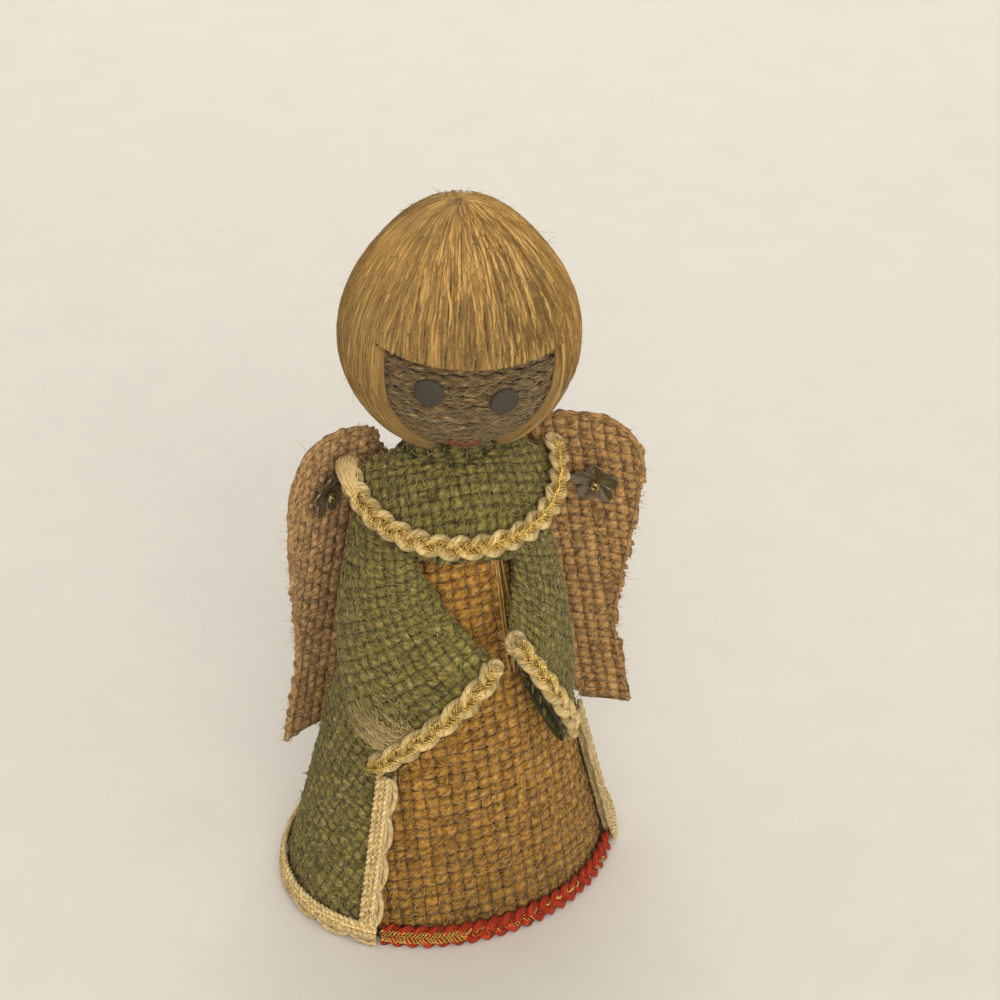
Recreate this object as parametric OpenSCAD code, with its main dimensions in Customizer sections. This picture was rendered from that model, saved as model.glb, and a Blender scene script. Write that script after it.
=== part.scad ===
// Jute angel ornament: a burlap figure built on a card cone, with a jute-wound head.
// Front is -Y, up is +Z, and the figure's left is +X. Millimetres.

/* [Figure] */
// Overall height, from the table to the crown of the hair
total_h = 170; // [160:1:205]
// Thickness of the burlap
burlap_t = 1.6; // [1.2:0.1:2]
// Film of glue between two layers
glue_gap = 0.15; // [0.1:0.05:0.3]

/* [Skirt] */
// Width of the coat at its hem
skirt_w = 83; // [70:1:100]
// Depth of the coat at its hem
skirt_d = 70; // [55:1:80]
// Turn of the skirt to the figure's left, as it was glued
skirt_turn = 20; // [-20:1:24]
// Angle of the coat's open front
coat_opening = 110; // [92:1:130]
// Thickness of the card cone
card_t = 0.9; // [0.6:0.1:1.2]
// Outer radius of the cone's tip, inside the head
tip_r = 5.6; // [4.8:0.1:6.6]

/* [Collar] */
// Radius of the collar's front edge
collar_r = 23; // [20:0.5:26]
// Sideways shift of the collar's edge, as it was glued
collar_shift = 1; // [-2:0.2:2]
// Angle that the collar covers round the front
collar_span = 184; // [150:1:188]
// How far the collar's front edge hangs below its neck edge
collar_drop = 15; // [13:0.5:18]
// How much less the collar hangs at its ends
collar_lift = 9.5; // [5:0.5:10]

/* [Sleeves] */
// Height of the lower end of the right cuff
cuff_low = 46; // [40:0.5:52]
// Height at which the right cuff meets the left one
cuff_high = 74; // [66:0.5:80]
// Thickness of a sleeve at the shoulder
shoulder_t = 7; // [6:0.5:9]
// Thickness of a sleeve at the cuff
cuff_t = 9.5; // [8:0.5:12]
// How far the cuffs stand off the chest where they meet
muff_lift = 7; // [4:0.5:10]
// Turn of the cuffs to the figure's left
cuff_turn = 13; // [0:1:20]
// How much higher the left cuff meets the right one
cuff_rise = 4; // [0:0.5:6]
// How much lower the left cuff hangs at its lower end
cuff_sag = 2.5; // [0:0.5:6]
// How much less of the skirt the left sleeve covers, as an angle
left_slim = 16; // [0:1:18]
// How much nearer to the middle the left sleeve's front edge lies, as an angle
left_close = 3; // [0:0.5:4]
// How much flatter the left sleeve lies
left_flat = 2; // [0:0.5:3]

/* [Wings] */
// Reach of a wing from its root to its outer edge
wing_reach = 30; // [26:0.5:36]
// Height of the lower tip of the left wing
wing_low = 23.5; // [20:0.5:36]
// Height of the top of a wing above its lower tip
wing_h = 91.5; // [76:0.5:108]
// How much higher the right wing was glued
wing_rise = 1; // [0:0.5:6]
// Length of the root that is glued to the coat
root_len = 20; // [12:1:22]
// Thickness of the stiffened wing cloth
wing_t = 2; // [1.6:0.1:2.6]
// Bend of the left wing towards the front, from root to edge
curl_left = 26; // [10:1:36]
// Bend of the right wing towards the front, from root to edge
curl_right = 48; // [20:1:54]

/* [Head] */
// Radius of the head ball
ball_r = 21.6; // [18:0.2:24]
// Sideways shift of the head, as it was glued
head_shift = 2.4; // [-3:0.2:3]
// Turn of the face to the figure's left
head_turn = -5; // [-25:1:25]
// Thickness of the jute twine on the face
twine_d = 1.9; // [1.5:0.1:2.3]
// Gap from one turn of twine to the next
twine_gap = 0.55; // [0.5:0.05:1]
// Thickness of the hair
hair_t = 1.6; // [1.4:0.1:2.4]
// Extra height of the hair at the crown
crown_h = 4.9; // [3:0.1:7]
// Angle from the middle of the face to where the long hair starts
face_half = 52; // [44:1:60]
// Diameter of an eye
eye_d = 6.3; // [4.5:0.1:7.2]
// Width of the mouth
mouth_w = 7; // [6:0.2:10]

/* [Trim] */
// Width of the braid on the coat, cuffs and collar
braid_w = 5; // [4:0.1:5.6]
// Thickness of the braid
braid_t = 2.2; // [1.6:0.1:2.6]
// Size of a sequin flower from petal to petal
flower_d = 11.4; // [9:0.2:13]
// Diameter of the bead in a sequin flower
bead_d = 2.6; // [2:0.1:3.2]

/* [Hidden] */
$fn = 48;

LEFT = 1;
RIGHT = -1;
FRONT = 270;

coat_green = "#5f6338";
gown_tan = "#a98a56";
wing_brown = "#8f7448";
braid_cream = "#d9cba6";
hem_coral = "#b9564a";
jute_gold = "#b98a4c";
jute_dark = "#84602f";

// Head: the winding lies on the ball, and the hair lies on the winding
seat_gap = 0.25;
wind_r = ball_r + seat_gap + twine_d / 2;
hair_in_r = wind_r + twine_d / 2 + 2 * seat_gap;
hair_out_r = hair_in_r + hair_t;
ball_z = total_h - hair_out_r - crown_h;
neck_z = ball_z - ball_r;
head_centre = [head_shift, 0, ball_z];
neck_room = 10;
hair_clear = 1.4;
fringe_low = 8.5;
fringe_tilt = 2.25;
fringe_bow = 3.75;
hair_low = -acos((neck_room + hair_clear) / hair_in_r);
hair_top = 87;

// Skirt: the gown lies on the card cone, and the coat lies on the gown
tip_depth = 6;
tip_z = neck_z + tip_depth;
gown_in = glue_gap;
gown_out = gown_in + burlap_t;
coat_in = gown_out + glue_gap;
coat_out = coat_in + burlap_t;
foot_x = skirt_w / 2 - coat_out;
foot_y = skirt_d / 2 - coat_out;
coat_start = FRONT + coat_opening / 2;
coat_end = FRONT + 360 - coat_opening / 2;

// Neck: the collar lies round the top of the gown and over the top of the coat
gown_below_head = 1.2;
collar_below_head = 4.5;
gown_top = neck_z - gown_below_head;
collar_top = neck_z - collar_below_head;
coat_top = collar_top - 2 * burlap_t;
collar_low = collar_top - burlap_t;
collar_in_r = max(skirt_x(collar_low), skirt_y(collar_low)) + gown_out + seat_gap;

// Wings: heights are those of the left wing
root_up = 51;
flower_down = [0, 18, 14];
root_low = wing_low + root_up;
root_high = root_low + root_len;
wing_top = wing_low + wing_h;
root_angle = [0, 45, 118];
wing_sweep = [0, 20, 30];
wing_curl = [0, curl_left, curl_right];
root_gap = 0.4;
waist_up = 26.5;
waist_in = 2.6;
tip_out = 5.8;
tip_start = 21;
tip_hollow = 0.8;
wing_crown = 5.5;
crown_start = 8;
crown_peak = 24;
corner_h = 13;
corner_w = 12.5;
flower_u = [0, 24, 23.5];

// Trim: hem braids stay clear of the table, and braids on a curve stay clear of its facets
braid_scallop = 0.14;
hem_clear = 0.3;
curve_room = 0.35;
flower_t = 0.5;
flower_seat = 0.65;
felt_t = 0.9;

// Steps of the surfaces
skirt_steps = 48;
full_turn = 360 * skirt_steps / (skirt_steps + 1);
braid_step = 2.6;
braid_sides = 6;
turn_steps = 24;

// Values between two others, and along a curve with one control value
function mix(a, b, u) = a + (b - a) * u;
function curve(a, b, c, u) = mix(mix(a, b, u), mix(b, c, u), u);
function unit(v) = v / norm(v);
function turn_z(p, a) = [p.x * cos(a) - p.y * sin(a), p.x * sin(a) + p.y * cos(a), p.z];
function side_value(side, values) = values[side == LEFT ? 1 : 2];

// Outside of the card cone, and a point that lies off it by the given distance
function skirt_x(z) = mix(foot_x, tip_r, z / tip_z);
function skirt_y(z) = mix(foot_y, tip_r, z / tip_z);
function skirt_point(angle, z, off) =
    turn_z([(skirt_x(z) + off) * cos(angle), (skirt_y(z) + off) * sin(angle), z], skirt_turn);
function skirt_normal(angle, z) =
    unit(skirt_point(angle, z, 1) - skirt_point(angle, z, 0) + [0, 0, (foot_x - tip_r) / tip_z]);
function skirt_arc(first, last, z, off) =
    [for (k = [0 : skirt_steps]) skirt_point(mix(first, last, k / skirt_steps), z, off)];

// Point on the head, by longitude from the middle of the face, latitude and radius
function head_point(longitude, latitude, radius) = head_centre + turn_z(
    radius * [cos(latitude) * sin(longitude), -cos(latitude) * cos(longitude), sin(latitude)], head_turn);

// Solid between rings of points, closed at both ends
module loft(rings) {
    n = len(rings[0]);
    last = (len(rings) - 1) * n;
    walls = [for (k = [0 : len(rings) - 2], i = [0 : n - 1])
        let (a = k * n + i, b = k * n + (i + 1) % n)
        each [[a, a + n, b + n], [a, b + n, b]]];
    ends = [for (i = [1 : n - 2]) each [[0, i, i + 1], [last, last + i + 1, last + i]]];
    polyhedron([for (ring = rings) each ring], concat(walls, ends));
}

// Sheet between an outer and an inner row of points at each level
module sheet(rows) {
    n = len(rows[0][0]);
    ring = 2 * n;
    points = [for (row = rows) each concat(row[0], [for (i = [n - 1 : -1 : 0]) row[1][i]])];
    top = (len(rows) - 1) * ring;
    walls = [for (k = [0 : len(rows) - 2], i = [0 : ring - 1])
        let (a = k * ring + i, b = k * ring + (i + 1) % ring)
        each [[a, a + ring, b + ring], [a, b + ring, b]]];
    ends = [for (i = [0 : n - 2]) let (far = ring - 1 - i) each [
        [i, i + 1, far - 1], [i, far - 1, far],
        [top + i, top + far - 1, top + i + 1], [top + i, top + far, top + far - 1]]];
    polyhedron(points, concat(walls, ends));
}

// Tube wall between outer and inner rings, open at both ends
module tube_wall(outer, inner) {
    n = len(outer[0]);
    levels = len(outer);
    size = n * levels;
    top = size - n;
    faces = [for (i = [0 : n - 1]) let (j = (i + 1) % n) each concat(
        [for (k = [0 : levels - 2]) let (a = k * n + i, b = k * n + j) each [
            [a, a + n, b + n], [a, b + n, b],
            [size + a, size + b + n, size + a + n], [size + a, size + b, size + b + n]]],
        [[i, j, size + j], [i, size + j, size + i],
         [top + i, top + size + j, top + j], [top + i, top + size + i, top + size + j]])];
    polyhedron([for (ring = concat(outer, inner)) each ring], faces);
}

// Rings of an oval section along a path, flat on the side that faces along the normals
function strip_rings(path, normals, half_w, half_t, sides, scallop) = [for (k = [0 : len(path) - 1])
    let (ahead = path[min(k + 1, len(path) - 1)], behind = path[max(k - 1, 0)],
        along = unit(ahead - behind),
        up = unit(normals[k] - (normals[k] * along) * along),
        across = cross(up, along),
        w = half_w * (k % 2 == 0 ? 1 : 1 - scallop))
    [for (i = [0 : sides - 1]) let (a = 360 * (i + 0.5) / sides)
        path[k] + w * cos(a) / cos(180 / sides) * across + half_t * sin(a) * up]];

// Braid whose lobes show as a scalloped edge
module braid(path, normals) {
    loft(strip_rings(path, normals, braid_w / 2, braid_t / 2, braid_sides, braid_scallop));
}

// Braid that lies on the skirt between two angles, at the given height and layer
module hem_braid(first, last, layer) {
    height = braid_w / 2 + hem_clear;
    off = layer + glue_gap + braid_t / 2;
    radius = (skirt_x(height) + skirt_y(height)) / 2 + off;
    count = 2 * round(radius * (last - first) * PI / 360 / braid_step);
    angles = [for (k = [0 : count]) mix(first, last, k / count)];
    braid([for (a = angles) skirt_point(a, height, off)], [for (a = angles) skirt_normal(a, height)]);
}

module card_cone() color("#b59a72") difference() {
    base = -2;
    levels = [base, tip_z];
    tube_wall([for (z = levels) skirt_arc(0, full_turn, z, 0)],
        [for (z = levels) skirt_arc(0, full_turn, z, -card_t)]);
    translate([-skirt_w, -skirt_w, -2 * skirt_w]) cube(2 * skirt_w);
}

module gown() color(gown_tan) {
    levels = [0, gown_top / 2, gown_top];
    tube_wall([for (z = levels) skirt_arc(0, full_turn, z, gown_out)],
        [for (z = levels) skirt_arc(0, full_turn, z, gown_in)]);
}

module gown_hem_braid() color(hem_coral) {
    margin = 3;
    reach = coat_opening / 2 - margin;
    hem_braid(FRONT - reach, FRONT + reach, gown_out);
}

module coat() color(coat_green) {
    sheet([for (z = [0, coat_top / 2, coat_top])
        [skirt_arc(coat_start, coat_end, z, coat_out), skirt_arc(coat_start, coat_end, z, coat_in)]]);
}

module coat_hem_braid() color(braid_cream) {
    hem_braid(coat_start, coat_end, coat_out);
}

// Braid up one front edge of the coat, from the hem braid to the cuff
module coat_edge_braid(side) {
    inset = 2;
    above_hem = 0.6;
    below_cuff = 6;
    angle = FRONT + side * (coat_opening / 2 + inset);
    low = hem_clear + braid_w + above_hem;
    high = cuff_low - below_cuff;
    count = 2 * round((high - low) / braid_step / 2);
    off = coat_out + glue_gap + braid_t / 2;
    levels = [for (k = [0 : count]) mix(low, high, k / count)];
    braid([for (z = levels) skirt_point(angle, z, off)], [for (z = levels) skirt_normal(angle, z)]);
}

module coat_edge_braid_left() color(braid_cream) coat_edge_braid(LEFT);
module coat_edge_braid_right() color(braid_cream) coat_edge_braid(RIGHT);

// Sleeve: each corner is an angle from the front and a height, and the shoulders fall as the skirt widens
shoulder_outer = [98, neck_z - 0.37 * foot_x];
shoulder_inner = [42, neck_z - 0.47 * foot_x];
cuff_outer = [45, cuff_low];
cuff_inner = [3, cuff_high];
elbow_outer = [96, 70];
elbow_inner = [24, 90];
degree_w = 0.4;
sleeve_levels = 8;
sleeve_sides = 20;

// Point on a sleeve: along runs from shoulder to cuff, round_by runs about it, wall is the depth inside
function sleeve_edge(from, by, to, along) = [for (i = [0, 1]) curve(from[i], by[i], to[i], along)];
function sleeve_point(side, along, round_by, wall) =
    let (left = side == LEFT ? 1 : 0,
        slim = left * [-left_slim, 0],
        close = left * [-left_close, 0],
        sag = left * [0, -cuff_sag],
        rise = left * [0, cuff_rise],
        outer = sleeve_edge(shoulder_outer, elbow_outer + slim, cuff_outer + slim + sag, along),
        inner = sleeve_edge(shoulder_inner, elbow_inner + close, cuff_inner + close + rise, along),
        thick = mix(shoulder_t, cuff_t, along) - left * left_flat,
        width = norm([(outer[0] - inner[0]) * degree_w, outer[1] - inner[1]]),
        across = 0.5 - (0.5 - wall / width) * cos(round_by),
        spot = mix(outer, inner, across),
        lift = muff_lift * along * along * across,
        off = coat_out + glue_gap + lift + thick / 2 + (thick / 2 - wall) * sin(round_by))
    skirt_point(FRONT + side * spot[0] + cuff_turn * along - skirt_turn, spot[1], off);
function sleeve_rings(side, wall) = [for (k = [0 : sleeve_levels])
    [for (i = [0 : sleeve_sides - 1])
        sleeve_point(side, k / sleeve_levels, side * 360 * i / sleeve_sides, wall)]];

module sleeve(side) {
    tube_wall(sleeve_rings(side, 0), sleeve_rings(side, burlap_t));
}

module sleeve_left() color(coat_green) sleeve(LEFT);
module sleeve_right() color(coat_green) sleeve(RIGHT);

// Braid round the front of a cuff
function sleeve_normal(side, along, round_by) =
    let (step = 0.02, turn = 2,
        forward = sleeve_point(side, along, round_by, 0) - sleeve_point(side, along - step, round_by, 0),
        round = sleeve_point(side, along, round_by + turn, 0) - sleeve_point(side, along, round_by - turn, 0))
    side * unit(cross(round, forward));

module cuff_braid(side) {
    along = 0.955;
    first = 10;
    last = 158;
    count = 18;
    turns = [for (k = [0 : count]) mix(first, last, k / count)];
    normals = [for (a = turns) sleeve_normal(side, along, a)];
    braid([for (k = [0 : count])
        sleeve_point(side, along, turns[k], 0) + (glue_gap + braid_t / 2) * normals[k]], normals);
}

module cuff_braid_left() color(braid_cream) cuff_braid(LEFT);
module cuff_braid_right() color(braid_cream) cuff_braid(RIGHT);

// Collar: it falls off more steeply towards its edge
collar_fall = 1.4;

// Point on the collar, by angle from its middle and share of the way from its edge to the neck
function collar_point(angle, inward, off) =
    let (radius = mix(collar_r, collar_in_r, inward),
        edge_z = collar_top - collar_drop + collar_lift * pow(abs(angle) / 90, 2),
        droop = 1 - pow(1 - inward, collar_fall))
    [radius * cos(FRONT + angle) + collar_shift * (1 - inward), radius * sin(FRONT + angle),
        mix(edge_z, collar_top, droop) + off];

module collar() color(coat_green) {
    levels = 5;
    steps = 36;
    row = function (k, off) [for (i = [0 : steps])
        collar_point(collar_span * (i / steps - 0.5), k / levels, off)];
    sheet([for (k = [0 : levels]) [row(k, 0), row(k, -burlap_t)]]);
}

module collar_braid() color(braid_cream) {
    count = 2 * round(collar_r * collar_span * PI / 360 / braid_step);
    inward = 0.05;
    step = 0.05;
    angles = [for (k = [0 : count]) collar_span * (k / count - 0.5)];
    normals = [for (a = angles) unit(cross(
        collar_point(a + 1, inward, 0) - collar_point(a - 1, inward, 0),
        collar_point(a, inward + step, 0) - collar_point(a, inward - step, 0)))];
    lift = glue_gap + braid_t / 2 + curve_room;
    braid([for (k = [0 : count]) collar_point(angles[k], inward, 0) + lift * normals[k]], normals);
}

// Wing: a curled sheet that leans with the coat, from a straight root
function root_point(side, z) = skirt_point(side_value(side, root_angle) - skirt_turn,
    z + (side == RIGHT ? wing_rise : 0), coat_out + root_gap + wing_t / 2);
function wing_slope(side, u) =
    side_value(side, wing_sweep) + side_value(side, wing_curl) * (u / wing_reach - 0.5);
function wing_point(side, u, z, off) =
    let (a = wing_slope(side, u / 2), b = wing_slope(side, u))
    root_point(side, z) + u * [side * cos(a), -sin(a), 0] + off * [-side * sin(b), -cos(b), 0];
wing_lean = (foot_x - tip_r) / tip_z * cos(45);

// Outline of a wing at each height, from the root outwards
wing_shoulder = wing_top - wing_crown;
wing_corner = wing_top - corner_h;
wing_waist = wing_low + waist_up;
function arc_share(z, low, high) = sqrt(max(0, 1 - pow((z - low) / (high - low), 2)));
function wing_inner(z) =
    z < root_low ?
        tip_start * pow((root_low - z) / (root_low - wing_low), tip_hollow) + wing_lean * (z - root_low)
    : z < root_high ? 0
    : z < wing_shoulder ? crown_start * (z - root_high) / (wing_shoulder - root_high)
    : mix(crown_peak, crown_start, arc_share(z, wing_shoulder, wing_top));
function wing_outer(z) = wing_lean * (z - root_low) + wing_reach
    - (z > wing_corner ? corner_w * (1 - arc_share(z, wing_corner, wing_top))
    : z > wing_waist ? waist_in * (1 - cos(180 * (wing_corner - z) / (wing_corner - wing_waist))) / 2
    : waist_in - tip_out * (wing_waist - z) / (wing_waist - wing_low));

module wing(side) {
    columns = 8;
    low_steps = 5;
    high_steps = 4;
    crown_steps = 5;
    peak = 0.98 * wing_crown;
    levels = concat([for (k = [0 : low_steps]) mix(wing_low, root_low, k / low_steps)],
        [(root_low + root_high) / 2],
        [for (k = [0 : high_steps]) mix(root_high, wing_shoulder, k / high_steps)],
        [for (k = [1 : crown_steps]) wing_shoulder + peak * sin(90 * k / crown_steps)]);
    row = function (z, off) [for (i = [0 : columns])
        let (share = side == LEFT ? i / columns : 1 - i / columns)
        wing_point(side, mix(wing_inner(z), wing_outer(z), share), z, off)];
    sheet([for (z = levels) [row(z, wing_t / 2), row(z, -wing_t / 2)]]);
    root_bead(side);
}

// Round edge along the glued root, on the line about which the wing bends
module root_bead(side) {
    low = root_point(side, root_low);
    run = root_point(side, root_high) - low;
    translate(low)
    rotate([0, acos(run.z / norm(run)), atan2(run.y, run.x)])
    cylinder(d = wing_t, h = norm(run));
}

echo(root_of_left_wing = [root_point(LEFT, root_low), root_point(LEFT, root_high)]);
echo(root_of_right_wing = [root_point(RIGHT, root_low), root_point(RIGHT, root_high)]);

module wing_left() color(wing_brown) wing(LEFT);
module wing_right() color(wing_brown) wing(RIGHT);

// Places a flat piece on the front of a wing, facing as the cloth does there
module on_wing(side, off) {
    flower_u = side_value(side, flower_u);
    flower_z = wing_top - side_value(side, flower_down);
    slope = wing_slope(side, flower_u);
    across = [cos(slope), -side * sin(slope), 0];
    facing = unit(cross(across, root_point(side, root_high) - root_point(side, root_low)));
    up = cross(facing, across);
    spot = wing_point(side, flower_u, flower_z, wing_t / 2) + off * facing;
    multmatrix([for (i = [0 : 2]) [across[i], up[i], facing[i], spot[i]]]) children();
}

// Five cupped petals punched as one sequin
module wing_flower(side) {
    petal_d = flower_d * 0.42;
    heart_d = flower_d * 0.34;
    on_wing(side, flower_seat) linear_extrude(flower_t) {
        circle(d = heart_d);
        for (k = [0 : 4]) rotate(90 + 72 * k) translate([(flower_d - petal_d) / 2, 0]) circle(d = petal_d);
    }
}

module wing_flower_left() color("#1f2a20") wing_flower(LEFT);
module wing_flower_right() color("#1f2a20") wing_flower(RIGHT);

module flower_bead(side) {
    clear = 0.05;
    on_wing(side, flower_seat + flower_t + clear + bead_d / 2) sphere(d = bead_d);
}

module flower_bead_left() color("#2f3f30") flower_bead(LEFT);
module flower_bead_right() color("#2f3f30") flower_bead(RIGHT);

// Foam ball with a tapered socket for the tip of the card cone
module head_ball() color("#cdbb96") difference() {
    below = 2;
    mouth_z = neck_z - below;
    translate(head_centre) sphere(r = ball_r);
    translate([0, 0, mouth_z])
    cylinder(h = tip_z + seat_gap - mouth_z,
        r1 = max(skirt_x(mouth_z), skirt_y(mouth_z)) + seat_gap, r2 = tip_r + seat_gap);
}

// One length of twine that winds down the ball from under the fringe to the chin
wind_high = 26;
wind_low = -acos(neck_room / wind_r);
wind_turns = floor((wind_high - wind_low) * PI / 180 * wind_r / (twine_d + twine_gap));
function wind_point(k) =
    let (latitude = mix(wind_high, wind_low, k / (wind_turns * turn_steps)))
    head_point(360 * k / turn_steps, latitude, wind_r);
wind_path = [for (k = [0 : wind_turns * turn_steps]) wind_point(k)];
wind_gap = min([for (k = [0 : len(wind_path) - 1 - turn_steps])
    min([for (j = [-2 : 2]) norm(wind_path[k] - wind_path[min(k + turn_steps + j, len(wind_path) - 1)])])])
    - twine_d;
echo(least_gap_of_winding = wind_gap, turns_of_winding = wind_turns);

module face_winding() color(jute_dark) {
    sides = 6;
    loft(strip_rings(wind_path, [for (p = wind_path) p - head_centre], cos(180 / sides) * twine_d / 2,
        twine_d / 2, sides, 0));
}

// Outside of the hair, higher at the crown, with a groove beside each lock
lock_groove = 0.7;
crown_power = 6;
function hair_radius(latitude, column) = hair_out_r
    + crown_h * pow(max(0, sin(latitude)), crown_power)
    - (column % 2) * lock_groove * cos(latitude);

// Hair between two longitudes, whose lower edge is given at both ends and in the middle
module hair_cap(first, last, columns, low_edge) {
    levels = 9;
    row = function (k, outside) [for (i = [0 : columns])
        let (longitude = mix(first, last, i / columns),
            latitude = mix(low_edge(longitude), hair_top, k / levels))
        head_point(longitude, latitude, outside ? hair_radius(latitude, i) : hair_in_r)];
    sheet([for (k = [0 : levels]) [row(k, true), row(k, false)]]);
}

parting = 0.5;

module hair_long() color(jute_gold) {
    hair_cap(face_half + parting, 360 - face_half - parting, 72, function (longitude) hair_low);
}

module hair_fringe() color(jute_gold) {
    hair_cap(-face_half, face_half, 24, function (longitude)
        fringe_low - fringe_tilt * longitude / face_half + fringe_bow * pow(longitude / face_half, 2));
}

// Places a flat felt piece on the face, facing outwards
module on_face(longitude, latitude) {
    translate(head_point(longitude, latitude, wind_r + twine_d / 2 + glue_gap))
    rotate([90 - latitude, 0, head_turn + longitude])
    children();
}

eye_spread = 18.7;
eye_middle = -3.2;
face_tilt = 3.3;
eye_latitude = -8.3;
mouth_middle = -4;
mouth_latitude = -42.5;
smile_depth = 2.6;
smile_hollow = 0.7;

module eye(side) color("#15120f")
    on_face(eye_middle + side * eye_spread, eye_latitude - side * face_tilt) cylinder(d = eye_d, h = felt_t);

module eye_left() eye(LEFT);
module eye_right() eye(RIGHT);

// Crescent smile between two arcs that meet at the corners
module mouth() color("#a8352b") on_face(mouth_middle, mouth_latitude) linear_extrude(felt_t) difference() {
    smile_arc(smile_depth);
    smile_arc(smile_hollow);
}

module smile_arc(depth) {
    arc_r = (pow(mouth_w / 2, 2) + depth * depth) / (2 * depth);
    translate([0, arc_r - depth]) circle(r = arc_r);
}

card_cone();
gown();
gown_hem_braid();
coat();
coat_hem_braid();
coat_edge_braid_left();
coat_edge_braid_right();
sleeve_left();
sleeve_right();
cuff_braid_left();
cuff_braid_right();
collar();
collar_braid();
wing_left();
wing_right();
wing_flower_left();
wing_flower_right();
flower_bead_left();
flower_bead_right();
head_ball();
face_winding();
hair_long();
hair_fringe();
eye_left();
eye_right();
mouth();
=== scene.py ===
"""Looks of the jute angel ornament: woven burlap, braid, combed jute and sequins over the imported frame."""

import math

import bpy
import numpy as np
from mathutils import Matrix, Vector


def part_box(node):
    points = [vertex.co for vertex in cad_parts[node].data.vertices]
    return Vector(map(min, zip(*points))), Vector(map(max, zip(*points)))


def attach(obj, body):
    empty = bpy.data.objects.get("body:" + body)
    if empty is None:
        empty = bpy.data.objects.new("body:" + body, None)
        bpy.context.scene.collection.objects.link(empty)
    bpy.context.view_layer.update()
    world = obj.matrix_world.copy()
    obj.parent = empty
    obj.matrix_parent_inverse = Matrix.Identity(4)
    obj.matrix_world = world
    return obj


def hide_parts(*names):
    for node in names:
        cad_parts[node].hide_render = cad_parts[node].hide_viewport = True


bl_info = {
    "name": "Jute Angel Ornament",
    "version": (1, 0, 0),
    "blender": (4, 5, 0),
    "location": "View3D > Sidebar > Angel",
    "description": "Models the cloth, braid, hair and felt of a jute angel ornament over its frame",
    "category": "Mesh",
}

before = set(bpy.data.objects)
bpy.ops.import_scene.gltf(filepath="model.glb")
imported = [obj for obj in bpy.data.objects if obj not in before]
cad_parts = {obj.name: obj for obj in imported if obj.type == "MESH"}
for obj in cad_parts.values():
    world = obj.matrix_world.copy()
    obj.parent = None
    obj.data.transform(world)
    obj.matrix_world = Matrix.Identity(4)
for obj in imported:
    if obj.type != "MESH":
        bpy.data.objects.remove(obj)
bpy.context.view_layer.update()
MM = 0.001
LEFT, RIGHT = 1, -1
SIDE_NAMES = {LEFT: "left", RIGHT: "right"}
FRONT = 270.0
FIGURE = "figure"

# Skirt: an oval cone, with the gown on the card and the coat on the gown
TIP_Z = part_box("card_cone")[1].z
FOOT_X, FOOT_Y, TIP_R = 38.0 * MM, 31.5 * MM, 5.6 * MM
SKIRT_TURN = 20.0
BURLAP_T = 1.6 * MM
GLUE = 0.15 * MM
GOWN_MIDDLE = GLUE + BURLAP_T / 2
GOWN_OUT = GLUE + BURLAP_T
COAT_MIDDLE = GOWN_OUT + GLUE + BURLAP_T / 2
COAT_OUT = GOWN_OUT + GLUE + BURLAP_T
GOWN_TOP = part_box("gown")[1].z
COAT_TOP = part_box("coat")[1].z
COAT_OPENING = 110.0
SLOPE = ((FOOT_X + FOOT_Y) / 2 - TIP_R) / TIP_Z

# Sleeves: corners are an angle from the front and a height
NECK_Z = GOWN_TOP + 1.2 * MM
SHOULDER = ((98.0, NECK_Z - 0.37 * FOOT_X), (42.0, NECK_Z - 0.47 * FOOT_X))
ELBOW = ((96.0, 70.0 * MM), (24.0, 90.0 * MM))
CUFF = ((45.0, 46.0 * MM), (3.0, 74.0 * MM))
SLEEVE_T = (7.0 * MM, 9.5 * MM)
LEFT_SLIM, LEFT_CLOSE, LEFT_FLAT, CUFF_SAG, CUFF_RISE = 16.0, 3.0, 2.0 * MM, 2.5 * MM, 4.0 * MM
MUFF_LIFT, CUFF_TURN, DEGREE_W = 7.0 * MM, 13.0, 0.4 * MM

# Collar
COLLAR_TOP = NECK_Z - 4.5 * MM
COLLAR_R, COLLAR_IN_R, COLLAR_SHIFT = 23.0 * MM, 10.3 * MM, 1.0 * MM
COLLAR_SPAN, COLLAR_DROP, COLLAR_LIFT, COLLAR_FALL = 184.0, 15.0 * MM, 9.5 * MM, 1.4

# Wings
WING_LOW, WING_H, WING_REACH, WING_RISE = 23.5 * MM, 91.5 * MM, 30.0 * MM, 1.0 * MM
WING_T, ROOT_GAP = 2.0 * MM, 0.4 * MM
WING_TOP = WING_LOW + WING_H
ROOT_LOW, ROOT_HIGH = WING_LOW + 51.0 * MM, WING_LOW + 71.0 * MM
ROOT_ANGLE = {LEFT: 45.0, RIGHT: 118.0}
WING_SWEEP = {LEFT: 20.0, RIGHT: 30.0}
WING_CURL = {LEFT: 26.0, RIGHT: 48.0}
WING_LEAN = (FOOT_X - TIP_R) / TIP_Z * math.cos(math.radians(45))

# Head: the frame gives the ball, and the rest lies on it
BALL_LOW, BALL_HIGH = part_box("head_ball")
BALL_R = (BALL_HIGH.x - BALL_LOW.x) / 2
HEAD = np.array([(BALL_LOW.x + BALL_HIGH.x) / 2, 0.0, BALL_HIGH.z - BALL_R])
HEAD_TURN = -5.0
TWINE_D = 1.9 * MM
SEAT_GAP = 0.25 * MM
WIND_R = BALL_R + SEAT_GAP + TWINE_D / 2
HAIR_IN_R = WIND_R + TWINE_D / 2 + 2 * SEAT_GAP
HAIR_OUT_R = HAIR_IN_R + 1.6 * MM
CROWN_H, CROWN_POWER = 4.9 * MM, 6
FACE_HALF = 52.0
HAIR_LOW, HAIR_TOP = -62.0, 88.5

# Trim
BRAID_W, BRAID_T, HEM_CLEAR = 5.0 * MM, 2.2 * MM, 0.3 * MM
EDGE_INSET = {LEFT: 0.6, RIGHT: 2.0}


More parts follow.
